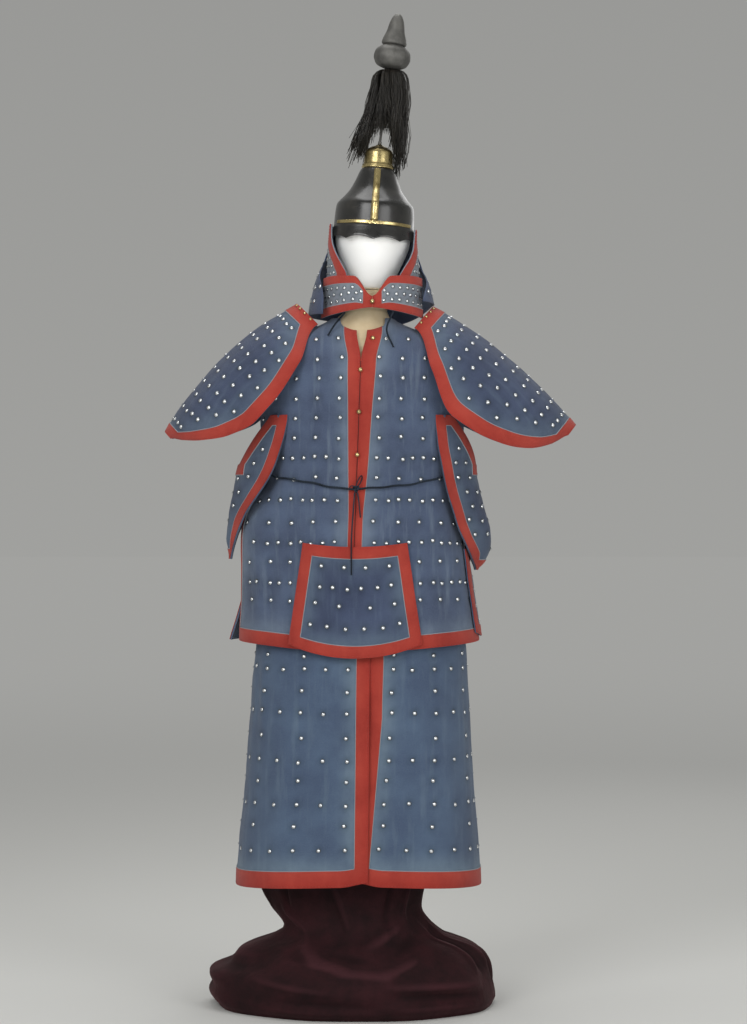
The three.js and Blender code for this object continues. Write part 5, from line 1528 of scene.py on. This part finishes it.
def crest():
    on_top = lambda points: in_helmet(points + (0, 0, CUP_Z))
    turned("plume_cup_shell", "plume_cup", BRASS, on_top, CUP, TURNED_SIDES["cup"])
    top = PLUME["knob"] - PLUME["knob_radius"] - SEAM
    r, neck, end, shoulder = STEM["radius"], STEM["radius"] * STEM["neck"], STEM["end"], STEM["shoulder"]
    low = [(0, SEAM), (r, SEAM), (r, end), (neck, shoulder)]
    high = [(neck, top - shoulder), (r, top - end), (r, top), (0, top)]
    turned("plume_stem_rod", "plume_stem", PEWTER, in_plume, low + high, TURNED_SIDES["stem"])


def finial():
    """A lobed bulb with a smooth spike on it."""
    bulb = [FINIAL[0], *map(tuple, rounded(FINIAL[1:FINIAL_WAIST + 1], FINIAL_STEPS))]
    spike_foot = (0, FINIAL[FINIAL_WAIST][1] - SPIKE_SUNK)
    spike = [spike_foot, *map(tuple, rounded(FINIAL[FINIAL_WAIST:], FINIAL_STEPS))]
    soup = Soup()
    for outline, key, lobes in ((bulb, "bulb", FINIAL_LOBES), (spike, "spike", {})):
        points, faces = lathe(outline, TURNED_SIDES[key], **lobes)
        soup.add(in_plume(points + (0, 0, PLUME["finial"])), faces)
    soup.build("plume_finial_bulb", PEWTER, replaces=["plume_finial"])


def tassel():
    """Horse hair in locks of fine strands, longest at the wearer's left, blown to the wearer's right."""
    knob = in_plume(np.array([0, 0, PLUME["knob"]]))
    r = PLUME["knob_radius"]
    ball = [(r * math.sin(t), -r * math.cos(t)) for t in np.linspace(0, math.pi, KNOB_STEPS)[1:-1]]
    points, faces = lathe([(0, -r), *ball, (0, r)], TURNED_SIDES["knob"])
    soup = Soup()
    soup.add(points + knob, faces)
    for n in range(HAIR["locks"]):
        lock(soup, knob, n)
    soup.build("plume_tassel_hair", BLACK_HAIR, replaces=["plume_tassel"])


def lock(soup, knob, n):
    """One lock, which leaves the knob, turns over and hangs."""
    turn = 2 * math.pi * (n * HAIR["turn"] + draw.uniform(-HAIR["turn_loose"], HAIR["turn_loose"]))
    way = np.array([math.cos(turn), math.sin(turn), 0])
    tangent = np.array([-way[1], way[0], 0])
    radius = draw.uniform(*HAIR["out"])
    sideways = abs(way[0]) ** HAIR["lean"]
    on_left = way[0] > 0
    long = lerp(HAIR["front"], HAIR["left" if on_left else "right"], sideways) * draw.uniform(*HAIR["cut"])
    drift = (HAIR["drift_left"] if on_left else draw.uniform(*HAIR["drift_right"])) * sideways
    spread = draw.uniform(*HAIR["spread"])
    section = circle(HAIR["radius"], HAIR["sides"])
    for _ in range(HAIR["strands"]):
        swing = draw.normal(0, HAIR["swing"], 2) * spread
        loose = draw.normal(0, 1, 3) * HAIR["loose"]
        bend = draw.normal(0, 1, 3) * HAIR["bend"]
        reach = long * draw.uniform(*HAIR["trim"])
        route = []
        for out, rise, fall, share, width in HAIR_PATH:
            aside = (tangent * swing[0] + way * swing[1] * HAIR["flat"]) * width
            bent = loose * share + bend * math.sin(HAIR["waves"] * share)
            route.append(knob + way * radius * out + aside + bent + (drift * share, 0, rise - fall * reach))
        soup.add(*sweep(curve_through(route, HAIR["points"]), way + HAIR["tilt"], section))


# Neck guards
def nape():
    half = float(half_girth(CAPE, NAPE["girth_z"]))

    def place(a, b):
        share = 1 + a / half
        start, end = NAPE["lift"]
        low = lerp(NAPE["low"], NAPE["low_left"], smooth((end - share) / (end - start)))
        return in_helmet(around(CAPE, lerp(low, NAPE["high"], b / NAPE_RISE), share))

    row_places, row_of = refine((FACING_CELLS, cells_for(NAPE_RISE)))
    b = np.interp(row_places, range(3), (0, NAPE_HEM, NAPE_RISE))[:, None]
    left, right = (read(NAPE_EDGE, "z", lerp(NAPE[low], NAPE["high"], b / NAPE_RISE), "share")
                   for low in ("low_left", "low"))
    across = np.linspace(0, 1, cells_for(NAPE["cells"] * half) + 1)
    a = lerp(left - 1, 1 - right, across) * half
    behind = np.abs((across[1:] + across[:-1]) / 2 - 0.5) < NAPE["faced"]
    panel = Panel("nape_guard", place, a, b, (row_of[:, None] == 0) & behind, wall=THIN_WALL)
    panel.stud(panel.lattice(NAPE_STUDS), NAPE_STUDS)
    dress(panel, GUARD_BLUE)


def ear_guard(side, sign):
    half = float(half_girth(CAPE, EAR["girth_z"]))

    def place(a, b):
        share = a / half
        front, out, flip = (read(EAR_FRONT, "z", b, key) for key in ("share", "out", "flip"))
        flip = flip * np.maximum((EAR["back"] - share) / (EAR["back"] - front), 0) ** EAR["flare"]
        return in_helmet(around(CAPE, b, sign * share, out + flip))

    rows = cells_for(EAR["cells"] * (EAR["high"] - EAR["low"]))
    b = np.linspace(EAR["low"], EAR["high"], rows + 1)[:, None]
    front = read(EAR_FRONT, "z", b, "share")
    places, column_of = refine(EAR["columns"])
    a = between([v * half for v in (front, front + EAR["border"], np.full_like(front, EAR["back"]))], places)
    bordered = np.broadcast_to(column_of == 0, (rows, len(column_of)))
    panel = Panel(f"ear_guard_{side}", place, a, b, bordered, None, sign, THIN_WALL, SMALL_STUD)
    panel.stud(panel.lattice(EAR_STUDS), EAR_STUDS)
    dress(panel, PALE_BLUE)


def throat_guard(side, sign):
    half = float(half_girth(THROAT, THROAT_GUARD["girth_z"]))
    tall = THROAT_GUARD["tall"]

    def place(a, b):
        share = a / half
        low, high = (read(THROAT_EDGES, "share", np.abs(share), key) for key in ("low", "high"))
        return around(THROAT, lerp(low, high, b / tall), sign * share)

    row_places, row_of = refine(THROAT_GUARD["rows"])
    b = np.interp(row_places, range(4), THROAT_GUARD["levels"])[:, None] * tall
    places, column_of = refine(THROAT_GUARD["columns"])
    a = np.interp(places, range(3), THROAT_GUARD["shares"])[None, :] * half
    bordered = (row_of[:, None] != 1) | (column_of == 0)
    panel = Panel(f"throat_guard_{side}", place, a, b, bordered, None, sign, THIN_WALL, SMALL_STUD)
    panel.stud(panel.lattice(THROAT_STUDS), THROAT_STUDS)
    dress(panel, PALE_BLUE)


def throat_fastening():
    out = BUTTON["radius"] + TRIM + 2 * SEAM
    button("throat_button", around(THROAT, THROAT_GUARD["button_z"], 0, out), (0, -1, 0))
    behind, middle, end = TIE_LIE
    for side, tie in TIES.items():
        points = [
            around(THROAT, tie["from"], tie["share"], behind - THIN_WALL - tie["gap"] - TIE_DIAMETER / 2),
            around(TORSO, lerp(tie["from"], tie["to"], 0.5), tie["share"], middle),
            around(TORSO, tie["to"], tie["share"], end),
        ]
        free_cord(f"throat_tie_{side}", points, TIE_DIAMETER)


# Stand
def dress_form():
    share = np.linspace(-1, 1, FORM_NET["around"], endpoint=False)
    under_jacket = lambda share, z: around(TORSO, z, share)
    rings = [around(FORM, z, share) for z in np.linspace(FORM["z"][0], FORM["z"][-1], FORM_NET["body"])]
    for row in np.linspace(FORM_EASE["row"][0], 1, FORM_NET["shoulder"]):
        z = jacket_z(row, np.minimum(np.abs(share), 0.5))
        ease = np.interp(row, FORM_EASE["row"], FORM_EASE["ease"])
        rings.append(under_jacket(share, z) - way_out(under_jacket, share, z, *PROBE) * (WALL + ease))
    rings += [around(FORM_NECK, z, share) for z in np.linspace(*FORM_NECK["z"], FORM_NET["neck"])]
    faces = tube_faces(len(rings), len(share))
    outward(make("stand_form_cover", np.vstack(rings), faces, [CALICO], replaces=["stand_form"]))
    shape = (TURNED_SIDES["head"], HELMET["depth_ratio"])
    turned("stand_head_smooth", "stand_head", WHITE, in_helmet, rounded(HEAD, 4), *shape)


def velvet_rise(turn, z):
    """Folds of the velvet: how far it stands out at each place."""
    total = np.zeros_like(z)
    behind = [(360 - turn0, z0, 360 - turn1, *rest) for turn0, z0, turn1, *rest in VELVET_FOLDS]
    for turn0, z0, turn1, z1, width, rise in (*VELVET_FOLDS, *behind, *VELVET_ROLLS):
        run = ((turn1 - turn0) * FOOT_CLOTH["girth"] / 360, z1 - z0)
        aside = ((np.degrees(turn) - turn0 + 180) % 360 - 180) * FOOT_CLOTH["girth"] / 360
        total += crease(aside, z - z0, run, width, rise, FOOT_CLOTH["bow"])
    return total


def foot():
    """Velvet over the stand's foot, in swags that pool on the floor."""
    turn = np.linspace(0, 2 * math.pi, FOOT_NET["around"], endpoint=False)[None, :]
    z = np.concatenate([np.linspace(*FOOT_NET["pool"]), np.linspace(*FOOT_NET["rise"])])[:, None]
    right, left, depth, fold = (read(FOOT, "z", z, key) for key in ("right", "left", "depth", "fold"))
    wave = 1 + fold * np.sin(FOOT_FOLDS * turn + z / FOOT_NET["twist"])
    x = np.cos(turn) * np.where(np.cos(turn) > 0, left, right) * wave
    y = np.sin(turn) * depth * wave
    turn, z = np.broadcast_arrays(turn, z)
    below, run = FOOT_CLOTH["floor"]
    folds = velvet_rise(turn, z) * smooth((z + below) / run)
    rise = folds - FOOT_CLOTH["inset"]
    points = np.stack([x + rise * np.cos(turn), y + rise * np.sin(turn), z], -1)
    # The fold height, kept for the velvet's painted highlight on the ridges and painted shade in the hollows.
    marks = {"fold": (0.5 + folds / FOOT_CLOTH["mark"]).clip(0, 1).ravel()}
    faces = net_faces(*z.shape, True)
    flat = points.reshape(-1, 3)
    piece = make("stand_foot_velvet", flat, faces, [VELVET], replaces=["stand_foot"], marks=marks)
    thicken(piece, FOOT_CLOTH["wall"], -1, FOOT_CLOTH["edge"])


# Stage
def camera():
    data = bpy.data.cameras.new("camera")
    data.lens = CAMERA_LENS
    data.clip_end = CAMERA_CLIP
    eye = bpy.data.objects.new("camera", data)
    eye.location = CAMERA_AT
    eye.rotation_euler = (math.pi / 2, 0, 0)
    bpy.context.scene.collection.objects.link(eye)
    bpy.context.scene.camera = eye


def backdrop():
    """A plain wall of light that is a little brighter towards the floor."""
    world = bpy.data.worlds.new("backdrop")
    world.use_nodes = True
    tree = world.node_tree
    way = tree.nodes.new("ShaderNodeTexCoord").outputs["Generated"]
    height = tree.nodes.new("ShaderNodeSeparateXYZ")
    rise = tree.nodes.new("ShaderNodeMapRange")
    blend = tree.nodes.new("ShaderNodeMix")
    blend.data_type = "RGBA"
    rise.inputs[1].default_value, rise.inputs[2].default_value = BACKDROP_RUN
    blend.inputs[6].default_value, blend.inputs[7].default_value = (*BACKDROP_LOW, 1), (*BACKDROP_HIGH, 1)
    tree.links.new(way, height.inputs[0])
    tree.links.new(height.outputs["Z"], rise.inputs[0])
    tree.links.new(rise.outputs[0], blend.inputs[0])
    tree.links.new(blend.outputs[2], tree.nodes["Background"].inputs["Color"])
    bpy.context.scene.world = world
    bpy.context.scene.view_settings.view_transform = "Standard"


def lamp(name, kind, at, aim, **settings):
    """A light at a place, turned to its aim."""
    data = bpy.data.lights.new(name, kind)
    for key, value in settings.items():
        setattr(data, key, value)
    light = bpy.data.objects.new(name, data)
    light.location = at
    light.rotation_euler = (Vector(aim) - light.location).to_track_quat("-Z", "Y").to_euler()
    bpy.context.scene.collection.objects.link(light)


def lights():
    """Wide soft lights, and a narrow one on the white head."""
    for light in LIGHTS:
        lamp(light["name"], "AREA", light["at"], LIGHT_AIM, energy=light["power"], size=light["size"])
    lamp("face", "SPOT", FACE_LIGHT["at"], FACE_LIGHT["aim"], energy=FACE_LIGHT["power"],
         spot_size=math.radians(FACE_LIGHT["cone"]), spot_blend=FACE_LIGHT["blend"],
         shadow_soft_size=FACE_LIGHT["soft"])


def floor():
    turns = np.linspace(0, 2 * math.pi, FLOOR_SIDES, endpoint=False)
    rings = [np.stack([np.cos(turns) * r, np.sin(turns) * r, 0 * turns], -1) for r in FLOOR_RINGS]
    faces = [tuple(range(FLOOR_SIDES)), *net_faces(len(FLOOR_RINGS), FLOOR_SIDES, True)]
    mesh = bpy.data.meshes.new("floor")
    mesh.from_pydata(np.vstack(rings).tolist(), [], faces)
    mesh.materials.append(floor_finish("pale_floor"))
    ground = bpy.data.objects.new("floor", mesh)
    bpy.context.scene.collection.objects.link(ground)


def guards():
    for side, sign in SIDES:
        armpit_guard(side, sign)
        shoulder_guard(side, sign)
        ear_guard(side, sign)
        throat_guard(side, sign)
    nape()


def skirt():
    for side, sign in SIDES:
        skirt_panel(side, sign)


camera()
backdrop()
lights()
floor()
waist_cord()
throat_fastening()
dress_form()
foot()
skirt()
jacket()
closing()
buttons()
flap("front_flap", FRONT_FLAP, FRONT_FLAP_STUDS)
flap("side_flap_left", SIDE_FLAP)
guards()
bowl()
visor()
ridge("helmet_ridge_front", -1)
ridge("helmet_ridge_back", 1)
crest()
finial()
tassel()
